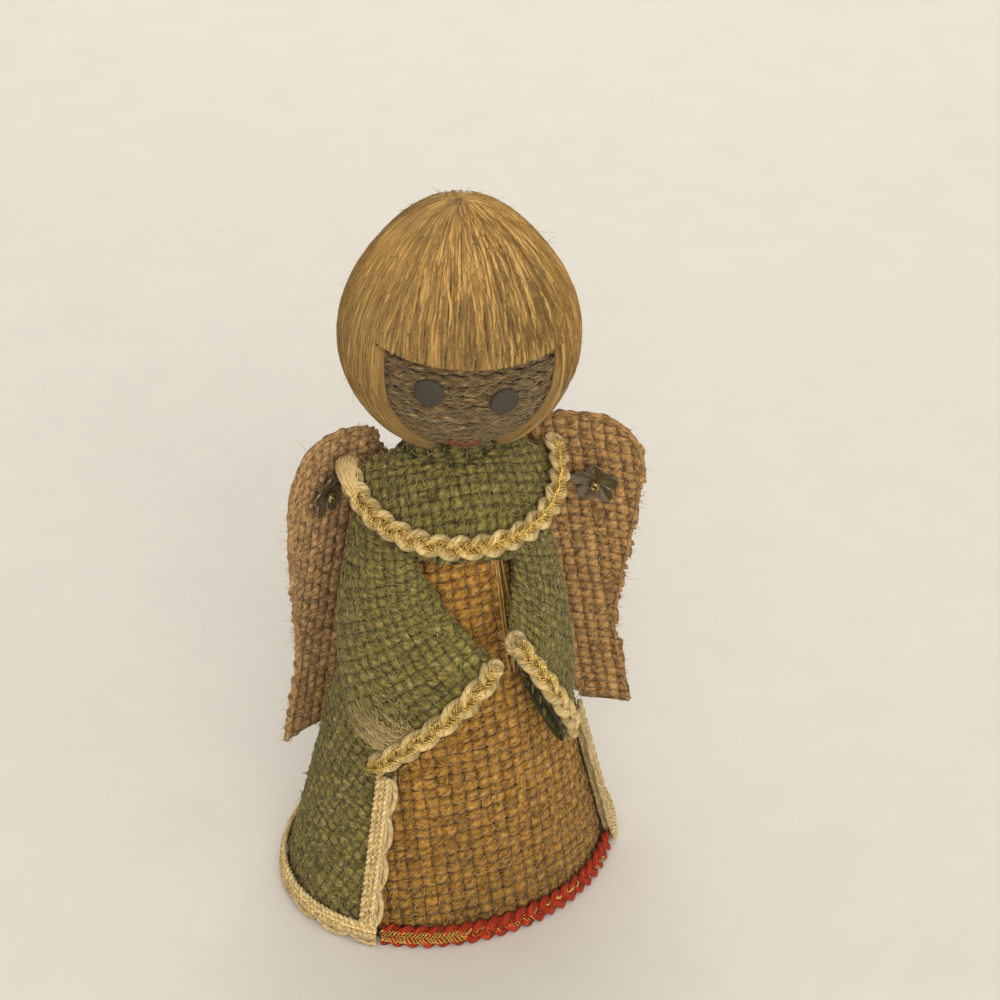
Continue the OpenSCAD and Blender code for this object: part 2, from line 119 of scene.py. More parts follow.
def shade(red, green, blue):
    """A colour given in screen values, as the linear colour that a shader takes."""
    def linear(value):
        value /= 255
        return value / 12.92 if value <= 0.04045 else ((value + 0.055) / 1.055) ** 2.4
    return linear(red), linear(green), linear(blue), 1.0


def length(name, text, default):
    """A size in metres."""
    return bpy.props.FloatProperty(name=name, description=text, default=default, unit="LENGTH", precision=5)


def colour(name, text, *screen):
    """A colour that a user may change."""
    return bpy.props.FloatVectorProperty(
        name=name, description=text, default=shade(*screen), size=4, subtype="COLOR", min=0, max=1)


class AngelCloth(bpy.types.PropertyGroup):
    """Sizes of the burlap's weave."""

    gown_warp: length("Gown Warp", "Distance between the gown's upright yarns", 2.85 * MM)
    gown_weft: length("Gown Weft", "Distance between the gown's level yarns", 2.45 * MM)
    coat_pitch: length("Coat Pitch", "Distance between the yarns of the coat, sleeves and collar", 2.35 * MM)
    wing_pitch: length("Wing Pitch", "Distance between the yarns of the wings", 2.6 * MM)
    yarn_thick: length("Yarn Thickness", "Thickness of a burlap yarn", 1.0 * MM)
    crimp: length("Crimp", "How far a yarn rises and dips as it crosses the others", 0.42 * MM)
    fray: length("Fray", "How far cut yarn ends stand out", 0.9 * MM)
    fibre_d: length("Loose Fibre", "Thickness of a loose fibre on the burlap", 0.22 * MM)
    fibre_count: bpy.props.IntProperty(
        name="Loose Fibres", description="Loose fibres on a square centimetre of burlap",
        default=38, min=1, max=80)
    fullness: bpy.props.FloatProperty(
        name="Fullness", description="Width of a yarn as a share of the pitch",
        default=0.97, min=0.5, max=1.2)


class AngelTrim(bpy.types.PropertyGroup):
    """Sizes of the braids."""

    lobe: length("Lobe", "Distance between the lobes along one edge of a plait", 4.6 * MM)
    cord_w: length("Cord Width", "Width of a cord in a plait", 2.2 * MM)
    cord_t: length("Cord Thickness", "Thickness of a cord in a plait", 1.45 * MM)
    gold_d: length("Gold Thread", "Thickness of the gold thread", 0.46 * MM)
    picot: length("Picot", "Distance between the loops on the coat's braid", 9.5 * MM)


class AngelHair(bpy.types.PropertyGroup):
    """Sizes of the hair and the twine."""

    strand_w: length("Strand Width", "Width of a strand of hair at its widest", 0.9 * MM)
    strand_t: length("Strand Thickness", "Thickness of a strand of hair", 0.8 * MM)
    strand_count: bpy.props.IntProperty(
        name="Strands", description="Strands of hair in a full turn", default=340, min=20, max=400)
    twine_w: length("Twine Width", "Width of the twine on the face", 2.6 * MM)
    twine_lay: length("Twine Lay", "Length of one turn of the twine's two plies", 9.0 * MM)
    fibre_d: length("Fibre", "Thickness of a loose fibre", 0.13 * MM)


class AngelColours(bpy.types.PropertyGroup):
    """Colours of the materials."""

    gown: colour("Gown", "Tan burlap of the gown", 175, 127, 52)
    coat: colour("Coat", "Olive burlap of the coat, sleeves and collar", 128, 116, 56)
    # The right wing's colour is paler, and the left's darker, as painted light for the shade that the right
    # wing sits in; both wings are of one burlap.
    wing_left: colour("Left Wing", "Brown burlap of the left wing", 186, 142, 85)
    wing_right: colour("Right Wing", "Paler burlap of the right wing", 200, 157, 102)
    hair: colour("Hair", "Golden jute of the hair", 212, 168, 94)
    face: colour("Face", "Brown twine of the face", 117, 93, 60)
    cream: colour("Cream", "Cream cotton of the collar's and cuffs' braids", 212, 184, 124)
    edging: colour("Edging", "Pale cotton of the coat's braids and of the frayed ends", 240, 210, 148)
    coral: colour("Coral", "Coral cotton of the gown's hem", 160, 44, 11)
    gold: colour("Gold", "Metal thread in the braid", 244, 206, 108)
    felt: colour("Felt", "Dark felt of the eyes", 74, 68, 57)
    lips: colour("Lips", "Red felt of the mouth", 126, 58, 42)
    sequin: colour("Sequin", "Dark sequin flowers on the wings", 102, 90, 64)
    card: colour("Card", "Card of the cone", 176, 148, 108)
    foam: colour("Foam", "Glue-soaked foam of the ball", 120, 92, 58)
    floor: colour("Floor", "Plain floor", 226, 221, 211)


PROPERTY_GROUPS = {
    "angel_cloth": AngelCloth,
    "angel_trim": AngelTrim,
    "angel_hair": AngelHair,
    "angel_colours": AngelColours,
}


# Surfaces of the figure

def mix(a, b, share):
    """Value between two others."""
    return a + (b - a) * share


def curve(a, b, c, share):
    """Value along a curve with one control value."""
    return mix(mix(a, b, share), mix(b, c, share), share)


def unit(vectors):
    """Vectors brought to a length of one."""
    return vectors / np.linalg.norm(vectors, axis=-1, keepdims=True)


def turned(points, degrees):
    """Points turned about the upright axis."""
    cosine, sine = math.cos(math.radians(degrees)), math.sin(math.radians(degrees))
    x, y, z = np.moveaxis(points, -1, 0)
    return np.stack([x * cosine - y * sine, x * sine + y * cosine, z], -1)


def skirt_point(angle, z, off):
    """Point round the skirt that lies off the card cone."""
    angle, z, off = np.broadcast_arrays(np.radians(angle), z, off)
    wide = mix(FOOT_X, TIP_R, z / TIP_Z) + off
    deep = mix(FOOT_Y, TIP_R, z / TIP_Z) + off
    return turned(np.stack([wide * np.cos(angle), deep * np.sin(angle), z], -1), SKIRT_TURN)


class ConeCut:
    """Flat cut of a cloth that is rolled into a cone."""

    def __init__(self, hem_r, sine, centre):
        self.sine = sine
        self.cosine = math.sqrt(1 - sine * sine)
        self.reach = hem_r / sine
        self.centre = centre

    def rolled(self, x, y):
        """Angle round the cone, and distance up its side, of flat points."""
        angle = self.centre + np.degrees(np.arctan2(x, self.reach - y)) / self.sine
        return angle, self.reach - np.hypot(x, self.reach - y)

    def cut_size(self, half_angle, side_length):
        """Width, length and area of the flat cut."""
        half = math.radians(half_angle * self.sine)
        inner = self.reach - side_length
        wide = 2 * self.reach * math.sin(min(half, math.pi / 2))
        long = self.reach - inner * math.cos(half)
        return wide, long, half * (self.reach ** 2 - inner ** 2)


def skirt_cut(off, centre):
    """Flat cut of a cloth on the skirt."""
    return ConeCut((FOOT_X + FOOT_Y) / 2 + off, SLOPE / math.hypot(1, SLOPE), centre)


def sleeve_point(side, along, around, wall):
    """Point on a sleeve: along from shoulder to cuff, around its section, wall deep inside it."""
    left = 1 if side == LEFT else 0
    slim, close, sag, rise = -LEFT_SLIM * left, -LEFT_CLOSE * left, -CUFF_SAG * left, CUFF_RISE * left
    outer_a = curve(SHOULDER[0][0], ELBOW[0][0] + slim, CUFF[0][0] + slim, along)
    outer_z = curve(SHOULDER[0][1], ELBOW[0][1], CUFF[0][1] + sag, along)
    inner_a = curve(SHOULDER[1][0], ELBOW[1][0] + close, CUFF[1][0] + close, along)
    inner_z = curve(SHOULDER[1][1], ELBOW[1][1], CUFF[1][1] + rise, along)
    thick = mix(SLEEVE_T[0], SLEEVE_T[1], along) - LEFT_FLAT * left
    width = np.hypot((outer_a - inner_a) * DEGREE_W, outer_z - inner_z)
    turn = np.radians(around)
    across = 0.5 - (0.5 - wall / width) * np.cos(turn)
    off = COAT_OUT + GLUE + MUFF_LIFT * along ** 2 * across + thick / 2 + (thick / 2 - wall) * np.sin(turn)
    angle = FRONT + side * mix(outer_a, inner_a, across) + CUFF_TURN * along - SKIRT_TURN
    return skirt_point(angle, mix(outer_z, inner_z, across), off)


class SleeveCut:
    """Flat cut of a sleeve, which is rolled into a flat tube with its seam at the back."""

    def __init__(self, side):
        self.side = side
        self.shares = np.linspace(0, 1, 41)
        self.levels = np.linspace(0, 1, 25)
        around = np.linspace(-90, 270, 145)
        rows = sleeve_point(side, self.levels[:, None], around[None, :], BURLAP_T / 2)
        steps = np.linalg.norm(np.diff(rows, axis=1), axis=-1)
        run = np.concatenate([np.zeros((len(rows), 1)), np.cumsum(steps, axis=1)], axis=1)
        self.girth = run[:, -1]
        self.around = np.array([np.interp(self.shares, r / r[-1], around) for r in run])
        middle = sleeve_point(side, self.levels, 90.0, BURLAP_T / 2)
        self.long = np.linalg.norm(np.diff(middle, axis=0), axis=-1).sum()

    def girth_at(self, y):
        """Girth of the sleeve at a distance from the shoulder."""
        return np.interp(y / self.long, self.levels, self.girth)

    def place(self, x, y, height):
        """Point of the sleeve for a flat point, raised by a height."""
        along = np.clip(y / self.long, 0, 1.02)
        share = np.clip(0.5 + x / self.girth_at(y), 0, 1) * (len(self.shares) - 1)
        level = np.clip(along, 0, 1) * (len(self.levels) - 1)
        i = np.minimum(level.astype(int), len(self.levels) - 2)
        j = np.minimum(share.astype(int), len(self.shares) - 2)
        a, b = level - i, share - j
        table = self.around
        around = mix(mix(table[i, j], table[i, j + 1], b), mix(table[i + 1, j], table[i + 1, j + 1], b), a)
        return sleeve_point(self.side, along, around, BURLAP_T / 2 - height)

    def inside(self, x, y):
        """Whether flat points lie on the cut."""
        return (np.abs(x) < self.girth_at(y) / 2) & (y > 0) & (y < 0.97 * self.long)


def collar_point(angle, inward, lift):
    """Point on the collar, by angle from its middle and share of the way from edge to neck."""
    angle, inward, lift = np.broadcast_arrays(angle, inward, lift)
    radius = mix(COLLAR_R, COLLAR_IN_R, inward)
    edge_z = COLLAR_TOP - COLLAR_DROP + COLLAR_LIFT * (angle / 90) ** 2
    droop = 1 - np.maximum(1 - inward, 0) ** COLLAR_FALL
    turn = np.radians(FRONT + angle)
    outward, upward = 0.6, 0.8
    x = (radius + outward * lift) * np.cos(turn) + COLLAR_SHIFT * (1 - inward)
    y = (radius + outward * lift) * np.sin(turn)
    return np.stack([x, y, mix(edge_z, COLLAR_TOP, droop) + upward * lift], -1)


def root_point(side, z):
    """Point on the line along which a wing is glued to the coat."""
    rise = WING_RISE if side == RIGHT else 0.0
    return skirt_point(ROOT_ANGLE[side] - SKIRT_TURN, z + rise, COAT_OUT + ROOT_GAP + WING_T / 2)


def wing_slope(side, u):
    """Direction of a wing's cloth at a distance from its root, in radians."""
    return np.radians(WING_SWEEP[side] + WING_CURL[side] * (u / WING_REACH - 0.5))


def wing_point(side, u, z, height):
    """Point on a wing, raised towards the front by a height."""
    u, z, height = np.broadcast_arrays(u, z, height)
    chord, face = wing_slope(side, u / 2), wing_slope(side, u)
    level = np.zeros_like(u)
    reach = np.stack([side * np.cos(chord), -np.sin(chord), level], -1)
    facing = np.stack([-side * np.sin(face), -np.cos(face), level], -1)
    return root_point(side, z) + u[..., None] * reach + height[..., None] * facing


def arc_share(z, low, high):
    """Share of a quarter arc that is left at a height."""
    return np.sqrt(np.clip(1 - (np.maximum(z - low, 0) / (high - low)) ** 2, 0, 1))


def wing_edges(z):
    """Inner and outer edge of a wing at a height."""
    crown, corner, waist = WING_TOP - 5.5 * MM, WING_TOP - 13.0 * MM, WING_LOW + 26.5 * MM
    tip_start, crown_start, crown_peak = 21.0 * MM, 8.0 * MM, 24.0 * MM
    corner_w, waist_in, tip_out = 12.5 * MM, 2.6 * MM, 5.8 * MM
    lean = WING_LEAN * (z - ROOT_LOW)
    below = np.clip((ROOT_LOW - z) / (ROOT_LOW - WING_LOW), 0, 1)
    above = np.clip((z - ROOT_HIGH) / (crown - ROOT_HIGH), 0, 1)
    inner = np.where(z < ROOT_LOW, tip_start * below ** 0.8 + lean, crown_start * above)
    inner = np.where(z > crown, mix(crown_peak, crown_start, arc_share(z, crown, WING_TOP)), inner)
    waisted = waist_in * (1 - np.cos(np.pi * (corner - z) / (corner - waist))) / 2
    drawn = np.where(z > waist, waisted, waist_in - tip_out * (waist - z) / (waist - WING_LOW))
    drawn = np.where(z > corner, corner_w * (1 - arc_share(z, corner, WING_TOP)), drawn)
    return inner, lean + WING_REACH - drawn


def head_point(longitude, latitude, radius):
    """Point on the head, by longitude from the middle of the face."""
    longitude, latitude, radius = np.broadcast_arrays(np.radians(longitude), np.radians(latitude), radius)
    level = radius * np.cos(latitude)
    local = np.stack([level * np.sin(longitude), -level * np.cos(longitude), radius * np.sin(latitude)], -1)
    return HEAD + turned(local, HEAD_TURN)


def hair_radius(latitude):
    """Outside of the hair, which stands higher at the crown."""
    return HAIR_OUT_R + CROWN_H * np.maximum(0, np.sin(np.radians(latitude))) ** CROWN_POWER


def fringe_edge(longitude):
    """Latitude at which the fringe is cut."""
    middle, tilt, rise = 8.5, 2.25, 3.75
    share = longitude / FACE_HALF
    return middle - tilt * share + rise * share ** 2


# Strands: yarns, cords and fibres as tubes

def wander(rng, along, wave):
    """A smooth random line between about -1 and 1."""
    largest = 1.7
    total = np.zeros_like(along)
    for pace in (1.0, 2.3, 4.1):
        total += np.sin(2 * np.pi * (along / wave * pace + rng.random())) / pace
    return total / largest


def uneven(rng, along, wave, share):
    """A size of about one that varies smoothly along a strand."""
    return 1 + share * wander(rng, along, wave)


def run_along(points):
    """Distance of each point along a line."""
    steps = np.linalg.norm(np.diff(points, axis=0), axis=-1)
    return np.concatenate([[0.0], np.cumsum(steps)])


def follow(distance, run, values):
    """Values along a line, at distances from its start."""
    return np.stack([np.interp(distance, run, values[:, i]) for i in range(3)], -1)


def ring(sides):
    """Cosine and sine round a section."""
    turn = 2 * np.pi * (np.arange(sides) + 0.5) / sides
    return np.cos(turn), np.sin(turn)


def strand(points, lift, tone):
    """One closed tube: its rings of points, how high it rides at each, which sets its painted shade, and its
    tone.
    """
    along = run_along(points.mean(axis=1))
    girth = np.linalg.norm(np.diff(points[len(points) // 2], axis=0), axis=-1).sum()
    return {"points": points, "along": along, "girth": girth, "lift": lift, "tone": tone}


def runs(mask):
    """Stretches of true values that are worth a yarn, as pairs of first index and end."""
    shortest = 4
    edges = np.flatnonzero(np.diff(np.concatenate([[0], mask.astype(int), [0]])))
    return [(a, b) for a, b in zip(edges[::2], edges[1::2]) if b - a >= shortest]


def weave(place, inside, x_span, y_span, pitch, seed, relief, painted_brightening):
    """Yarns of a plain weave on a flat cut, over and under each other, with painted shade where they pass
    under and painted light that may make them paler upwards.
    """
    cloth = bpy.context.scene.angel_cloth
    rng = np.random.default_rng(seed)
    samples, sides, drift, end_taper, even_height = 4, 6, 0.1, 0.6, 0.4
    cosine, sine = ring(sides)
    strands = []
    for level in (False, True):
        own, cross = (pitch[1], pitch[0]) if level else pitch
        rows, spread = (y_span, x_span) if level else (x_span, y_span)
        along = np.arange(spread[0], spread[1], cross / samples)
        for k in range(math.ceil(rows[0] / own), math.floor(rows[1] / own) + 1):
            line = own * (k + drift * wander(rng, along, 11 * own))
            width = own * cloth.fullness * uneven(rng, along, 7 * own, 0.16)
            thick = cloth.yarn_thick * uneven(rng, along, 5 * own, 0.14)
            wave = np.cos(np.pi * (along / cross + k)) * (-1 if level else 1)
            flat = (along, line) if level else (line, along)
            tone = rng.random()
            for first, last in runs(inside(*flat)):
                t = along[first:last].copy()
                t[0] -= cloth.fray * rng.random()
                t[-1] += cloth.fray * rng.random()
                taper = np.ones(len(t))
                taper[[0, -1]] = end_taper
                w = (width[first:last] * taper)[:, None] / 2 * cosine
                crimp = (relief * cloth.crimp * wave[first:last])[:, None]
                h = crimp + (thick[first:last] * taper)[:, None] / 2 * sine
                here = np.broadcast_to(t[:, None], w.shape)
                beside = line[first:last][:, None] + w
                points = place(here, beside, h) if level else place(beside, here, h)
                # Painted light: the tone rises with height, to brighten yarns that sit in shade; the lift
                # gives painted shade where a yarn dips under.
                height = (line if level else along)[first:last] / y_span[1]
                painted_light = painted_brightening * (height - even_height)
                strands.append(strand(points, 0.5 + 0.5 * wave[first:last], tone + painted_light))
    return strands


def loose_fibres(place, inside, x_span, y_span, count, seed, two_faced=False):
    """Short fibres that lie on a cloth, some with an end that stands out."""
    thick = bpy.context.scene.angel_cloth.fibre_d / 2
    rng = np.random.default_rng(seed)
    tries, off_course, curl, standing = 8 * count, 26, 0.4, 0.15
    x, y = rng.uniform(*x_span, tries), rng.uniform(*y_span, tries)
    kept = np.flatnonzero(inside(x, y))[:count]
    n = len(kept)
    heading = np.radians(90 * rng.integers(0, 2, n) + off_course * rng.normal(size=n))[:, None]
    size = mix(1.0, 2.6, rng.random((n, 1))) * MM
    share = np.linspace(-0.5, 0.5, 4)
    ahead, aside = size * share, curl * size * rng.normal(size=(n, 1)) * share ** 2
    flat_x = x[kept][:, None] + ahead * np.cos(heading) - aside * np.sin(heading)
    flat_y = y[kept][:, None] + ahead * np.sin(heading) + aside * np.cos(heading)
    highest = (0.5 if two_faced else 1.3) * MM
    stray = highest * rng.random((n, 1)) * (rng.random((n, 1)) < standing)
    rise = (0.7 + 0.12 * rng.normal(size=(n, 1))) * MM + stray * (share + 0.5) ** 2
    if two_faced:
        rise *= rng.choice([-1, 1], (n, 1))
    path = place(flat_x, flat_y, rise)
    up = unit(place(flat_x, flat_y, rise + 0.2 * MM) - path)
    side = unit(np.cross(up, np.gradient(path, axis=1)))
    cosine, sine = ring(3)
    radius = (thick * mix(0.6, 1.5, rng.random((n, 1))) * (1 - np.abs(share)))[..., None]
    points = path[:, :, None] + (radius * cosine)[..., None] * side[:, :, None]
    points += (radius * sine)[..., None] * up[:, :, None]
    return [strand(p, np.ones(len(share)), tone) for p, tone in zip(points, rng.random(n))]


def deselect():
    """Leaves nothing selected."""
    bpy.ops.object.select_all(action="DESELECT")


def only(piece):
    """Makes a piece the one that operators act on."""
    deselect()
    piece.select_set(True)
    bpy.context.view_layer.objects.active = piece


def edit(operator, **settings):
    """Runs an operator on the whole mesh of the active piece."""
    bpy.ops.object.mode_set(mode="EDIT")
    bpy.ops.mesh.select_all(action="SELECT")
    operator(**settings)
    bpy.ops.object.mode_set(mode="OBJECT")


def primitive(name, operator, **settings):
    """A new piece that starts as one of the plain meshes."""
    deselect()
    operator(**settings)
    piece = bpy.context.object
    piece.name = piece.data.name = name
    return piece


def above_floor(points):
    """Points that would reach through the floor, raised just above it."""
    lowest = 0.1 * MM
    points[:, 2] = np.maximum(points[:, 2], lowest)
    return points


def bake_strips(strands):
    """Corner of each strand's strip on a square map, and the map's side."""
    gap, spare = 0.2 * MM, 1.08
    side = spare * math.sqrt(sum((s["along"][-1] + gap) * (s["girth"] + gap) for s in strands))
    side = max(side, max(s["along"][-1] for s in strands) + gap)
    x = y = shelf = 0.0
    corners = []
    for s in strands:
        if x + s["along"][-1] > side:
            x, y, shelf = 0.0, y + shelf, 0.0
        corners.append((x, y))
        x += s["along"][-1] + gap
        shelf = max(shelf, s["girth"] + gap)
    return corners, max(side, y + shelf)


def strands_object(name, strands, material):
    """One mesh of closed tubes, with a map along each and its tone and lift; the lift sets the painted shade.
    """
    corners, side = bake_strips(strands)
    points, quads, caps, tones, shade_lifts = ([] for _ in range(5))
    strand_uv, cap_uv, bake_uv, cap_bake = ([] for _ in range(4))
    base = 0
    for s, (x, y) in zip(strands, corners):
        n, m = s["points"].shape[:2]
        k, i = np.meshgrid(np.arange(n - 1), np.arange(m), indexing="ij")
        j = (i + 1) % m
        ring_now, ring_next = base + k * m, base + (k + 1) * m
        square = [ring_now + i, ring_now + j, ring_next + j, ring_next + i]
        quads.append(np.stack(square, -1).reshape(-1, 4))
        u0, u1 = s["along"][k], s["along"][k + 1]
        v0, v1 = i / m, (i + 1) / m
        corner = np.stack([np.stack([u0, v0], -1), np.stack([u0, v1], -1),
                           np.stack([u1, v1], -1), np.stack([u1, v0], -1)], 2).reshape(-1, 2)
        strand_uv.append(corner / [MM, 1.0])
        bake_uv.append((corner * [1.0, s["girth"]] + [x, y]) / side)
        caps.append(base + np.stack([np.arange(m)[::-1], (n - 1) * m + np.arange(m)]))
        ends = np.repeat([[0.0, 0.5], [s["along"][-1], 0.5]], m, axis=0)
        cap_uv.append(ends / [MM, 1.0])
        cap_bake.append((ends * [1.0, s["girth"]] + [x, y]) / side)
        points.append(s["points"].reshape(-1, 3))
        tones.append(np.repeat(np.broadcast_to(s["tone"], n), m))
        shade_lifts.append(np.repeat(s["lift"], m))
        base += n * m
    points, quads, caps = above_floor(np.concatenate(points)), np.concatenate(quads), np.concatenate(caps)
    loops = np.concatenate([quads.ravel(), caps.ravel()])
    starts = np.concatenate([np.arange(len(quads)) * 4, quads.size + np.arange(len(caps)) * caps.shape[1]])
    mesh = bpy.data.meshes.new(name)
    mesh.vertices.add(len(points))
    mesh.vertices.foreach_set("co", points.ravel())
    mesh.loops.add(len(loops))
    mesh.loops.foreach_set("vertex_index", loops.astype(np.int32))
    mesh.polygons.add(len(starts))
    mesh.polygons.foreach_set("loop_start", starts.astype(np.int32))
    mesh.polygons.foreach_set("use_smooth", np.ones(len(starts), bool))
    mesh.update(calc_edges=True)
    for title, parts in (("Strand", strand_uv + cap_uv), ("OFBake", bake_uv + cap_bake)):
        mesh.uv_layers.new(name=title).data.foreach_set("uv", np.concatenate(parts).ravel())
    for title, parts in (("tone", tones), ("lift", shade_lifts)):
        mesh.attributes.new(title, "FLOAT", "POINT").data.foreach_set("value", np.concatenate(parts))
    mesh.materials.append(material)
    piece = bpy.data.objects.new(name, mesh)
    bpy.context.scene.collection.objects.link(piece)
    only(piece)
    edit(bpy.ops.mesh.normals_make_consistent, inside=False)
    return piece


def sheet_object(name, columns, rows, point, material, flip=False):
    """A grid laid on a surface by a function of two shares, as the ground under the yarns; it has no tone or
    lift, so it takes the full painted shade, dark in the gaps between the strands.
    """
    piece = primitive(name, bpy.ops.mesh.primitive_grid_add, x_subdivisions=columns, y_subdivisions=rows,
                      size=1.0)
    flat = np.empty(len(piece.data.vertices) * 3)
    piece.data.vertices.foreach_get("co", flat)
    flat = flat.reshape(-1, 3)
    points = above_floor(point(flat[:, 0] + 0.5, flat[:, 1] + 0.5))
    piece.data.vertices.foreach_set("co", points.ravel())
    piece.data.update()
    if flip:
        edit(bpy.ops.mesh.flip_normals)
    piece.data.uv_layers[0].name = "Strand"
    piece.data.materials.append(material)
    bpy.ops.object.shade_smooth()
    return piece


def carried(piece, body, slot, *nodes):
    """Joins a piece to its body, in place of the nodes that it stands for; the slot is not used."""
    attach(piece, body)
    if nodes:
        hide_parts(*nodes)


def recoat(node, material):
    """Gives a node of the frame a material of its own."""
    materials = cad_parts[node].data.materials
    materials.clear()
    materials.append(material)


# Materials

def feed(tree, node, inputs):
    """Gives a node its inputs, as values or links."""
    for socket, value in inputs.items():
        if isinstance(value, bpy.types.NodeSocket):
            tree.links.new(value, node.inputs[socket])
        else:
            node.inputs[socket].default_value = value


def add(tree, kind, inputs=None, **settings):
    """A node with its settings and its inputs."""
    made = tree.nodes.new(kind)
    for key, value in settings.items():
        setattr(made, key, value)
    feed(tree, made, inputs or {})
    return made


def maths(tree, operation, *values):
    """Result of a sum on values or links."""
    made = add(tree, "ShaderNodeMath", dict(enumerate(values)), operation=operation)
    return made.outputs[0]


def blended(tree, factor, a, b, blend_type="MIX"):
    """Colour between two others."""
    made = add(tree, "ShaderNodeMix", {0: factor, 6: a, 7: b}, data_type="RGBA", blend_type=blend_type)
    return made.outputs[2]


def ranged(tree, value, low, high, new_low=0.0, new_high=1.0):
    """A value brought from one range to another, eased at both ends."""
    made = add(tree, "ShaderNodeMapRange", {0: value, 1: low, 2: high, 3: new_low, 4: new_high},
               interpolation_type="SMOOTHSTEP")
    return made.outputs[0]


def strand_place(tree):
    """Distance along a strand in millimetres, and share of the way round it."""
    place = add(tree, "ShaderNodeUVMap", uv_map="Strand").outputs[0]
    return add(tree, "ShaderNodeSeparateXYZ", {0: place}).outputs


def bump(tree, height, strength, distance):
    """Normal of a bumpy surface."""
    made = add(tree, "ShaderNodeBump", {"Height": height, "Strength": strength, "Distance": distance})
    return made.outputs[0]


def fibre_group():
    """Fibres along a strand: colour with painted shade where the strand lies low, and height for a bump."""
    name = "Strand Fibres"
    strand_step, patch_step, patch_grain, ply_relief = 43.0, 17.0, 0.11, 0.16
    least_light, tone_light, patch_light = 0.55, 0.34, 0.6
    if name in bpy.data.node_groups:
        return bpy.data.node_groups[name]
    tree = bpy.data.node_groups.new(name, "ShaderNodeTree")
    for title in ("Base", "Dark", "Pale"):
        tree.interface.new_socket(name=title, in_out="INPUT", socket_type="NodeSocketColor")
    for title in ("Fineness", "Grain", "Twist", "Depth"):
        tree.interface.new_socket(name=title, in_out="INPUT", socket_type="NodeSocketFloat")
    tree.interface.new_socket(name="Colour", in_out="OUTPUT", socket_type="NodeSocketColor")
    tree.interface.new_socket(name="Height", in_out="OUTPUT", socket_type="NodeSocketFloat")
    given = tree.nodes.new("NodeGroupInput").outputs
    place = strand_place(tree)
    tone = add(tree, "ShaderNodeAttribute", attribute_name="tone").outputs["Fac"]
    lift = add(tree, "ShaderNodeAttribute", attribute_name="lift").outputs["Fac"]
    lay = maths(tree, "ADD", place[1], maths(tree, "DIVIDE", place[0], given["Twist"]))
    spot = add(tree, "ShaderNodeCombineXYZ", {
        0: maths(tree, "MULTIPLY", place[0], given["Grain"]),
        1: maths(tree, "MULTIPLY", lay, given["Fineness"]),
        2: maths(tree, "MULTIPLY", tone, strand_step)}).outputs[0]
    fine = add(tree, "ShaderNodeTexNoise", {"Vector": spot, "Scale": 1.0, "Detail": 4.0, "Roughness": 0.66})
    broad_spot = add(tree, "ShaderNodeCombineXYZ", {
        0: maths(tree, "MULTIPLY", place[0], patch_grain),
        1: maths(tree, "MULTIPLY", tone, patch_step)}).outputs[0]
    broad = add(tree, "ShaderNodeTexNoise", {"Vector": broad_spot, "Scale": 1.0, "Detail": 2.0})
    thread = fine.outputs[0]
    colour_now = blended(tree, ranged(tree, thread, 0.34, 0.56), given["Dark"], given["Base"])
    colour_now = blended(tree, ranged(tree, thread, 0.55, 0.74), colour_now, given["Pale"])
    own_tone = maths(tree, "MULTIPLY", tone, tone_light)
    patches = maths(tree, "MULTIPLY", broad.outputs[0], patch_light)
    bright = maths(tree, "ADD", maths(tree, "ADD", own_tone, patches), least_light)
    # Painted shade: a strand is darkened where its lift is low, in dips and crevices, by the given share.
    low = maths(tree, "SUBTRACT", 1.0, ranged(tree, lift, 0.1, 0.95))
    sunk = maths(tree, "MULTIPLY", low, given["Depth"])
    bright = maths(tree, "MULTIPLY", bright, maths(tree, "SUBTRACT", 1.0, sunk))
    grey = add(tree, "ShaderNodeCombineXYZ", {0: bright, 1: bright, 2: bright}).outputs[0]
    colour_now = blended(tree, 1.0, colour_now, grey, "MULTIPLY")
    ply = maths(tree, "SINE", maths(tree, "MULTIPLY", lay, 4 * math.pi))
    height = maths(tree, "ADD", thread, maths(tree, "MULTIPLY", ply, ply_relief))
    add(tree, "NodeGroupOutput", {"Colour": colour_now, "Height": height})
    return tree


def blank_material(name):
    """A new material, with its node tree and its shader."""
    material = bpy.data.materials.new(name)
    material.use_nodes = True
    tree = material.node_tree
    return material, tree, tree.nodes["Principled BSDF"]


def scaled(rgba, share, towards=None):
    """A colour made darker, or brought nearer to another."""
    if towards is None:
        return tuple(c * share for c in rgba[:3]) + (1.0,)
    return tuple(mix(c, t, share) for c, t in zip(rgba[:3], towards[:3])) + (1.0,)


def fibre_material(name, base, dark, pale, fineness, grain, twist, depth, relief, roughness, sheen):
    """A material of fibres that run along its strands, painted darker by depth where the strands lie low."""
    if name in bpy.data.materials:
        return bpy.data.materials[name]
    material, tree, shader = blank_material(name)
    group = add(tree, "ShaderNodeGroup", node_tree=fibre_group())
    feed(tree, group, {"Base": base, "Dark": dark, "Pale": pale, "Fineness": fineness, "Grain": grain,
                       "Twist": twist, "Depth": depth})
    feed(tree, shader, {
        "Base Color": group.outputs["Colour"],
        "Normal": bump(tree, group.outputs["Height"], relief, 0.4 * MM),
        "Roughness": roughness, "Sheen Weight": sheen, "Sheen Roughness": 0.5, "Specular IOR Level": 0.25})
    return material


def burlap(name):
    """Burlap in one of the figure's colours."""
    base = tuple(getattr(bpy.context.scene.angel_colours, name))
    pale = scaled(base, 0.42, shade(232, 212, 158))
    # Share of painted shade in the dips of the yarns; the wings get less of it, the right wing least.
    depth = {"gown": 0.66, "coat": 0.68, "wing_left": 0.45, "wing_right": 0.38}[name]
    return fibre_material(f"{name} weave", base, scaled(base, 0.3), pale, fineness=6.0, grain=0.7, twist=13.0,
                          depth=depth, relief=1.2, roughness=0.92, sheen=0.1)


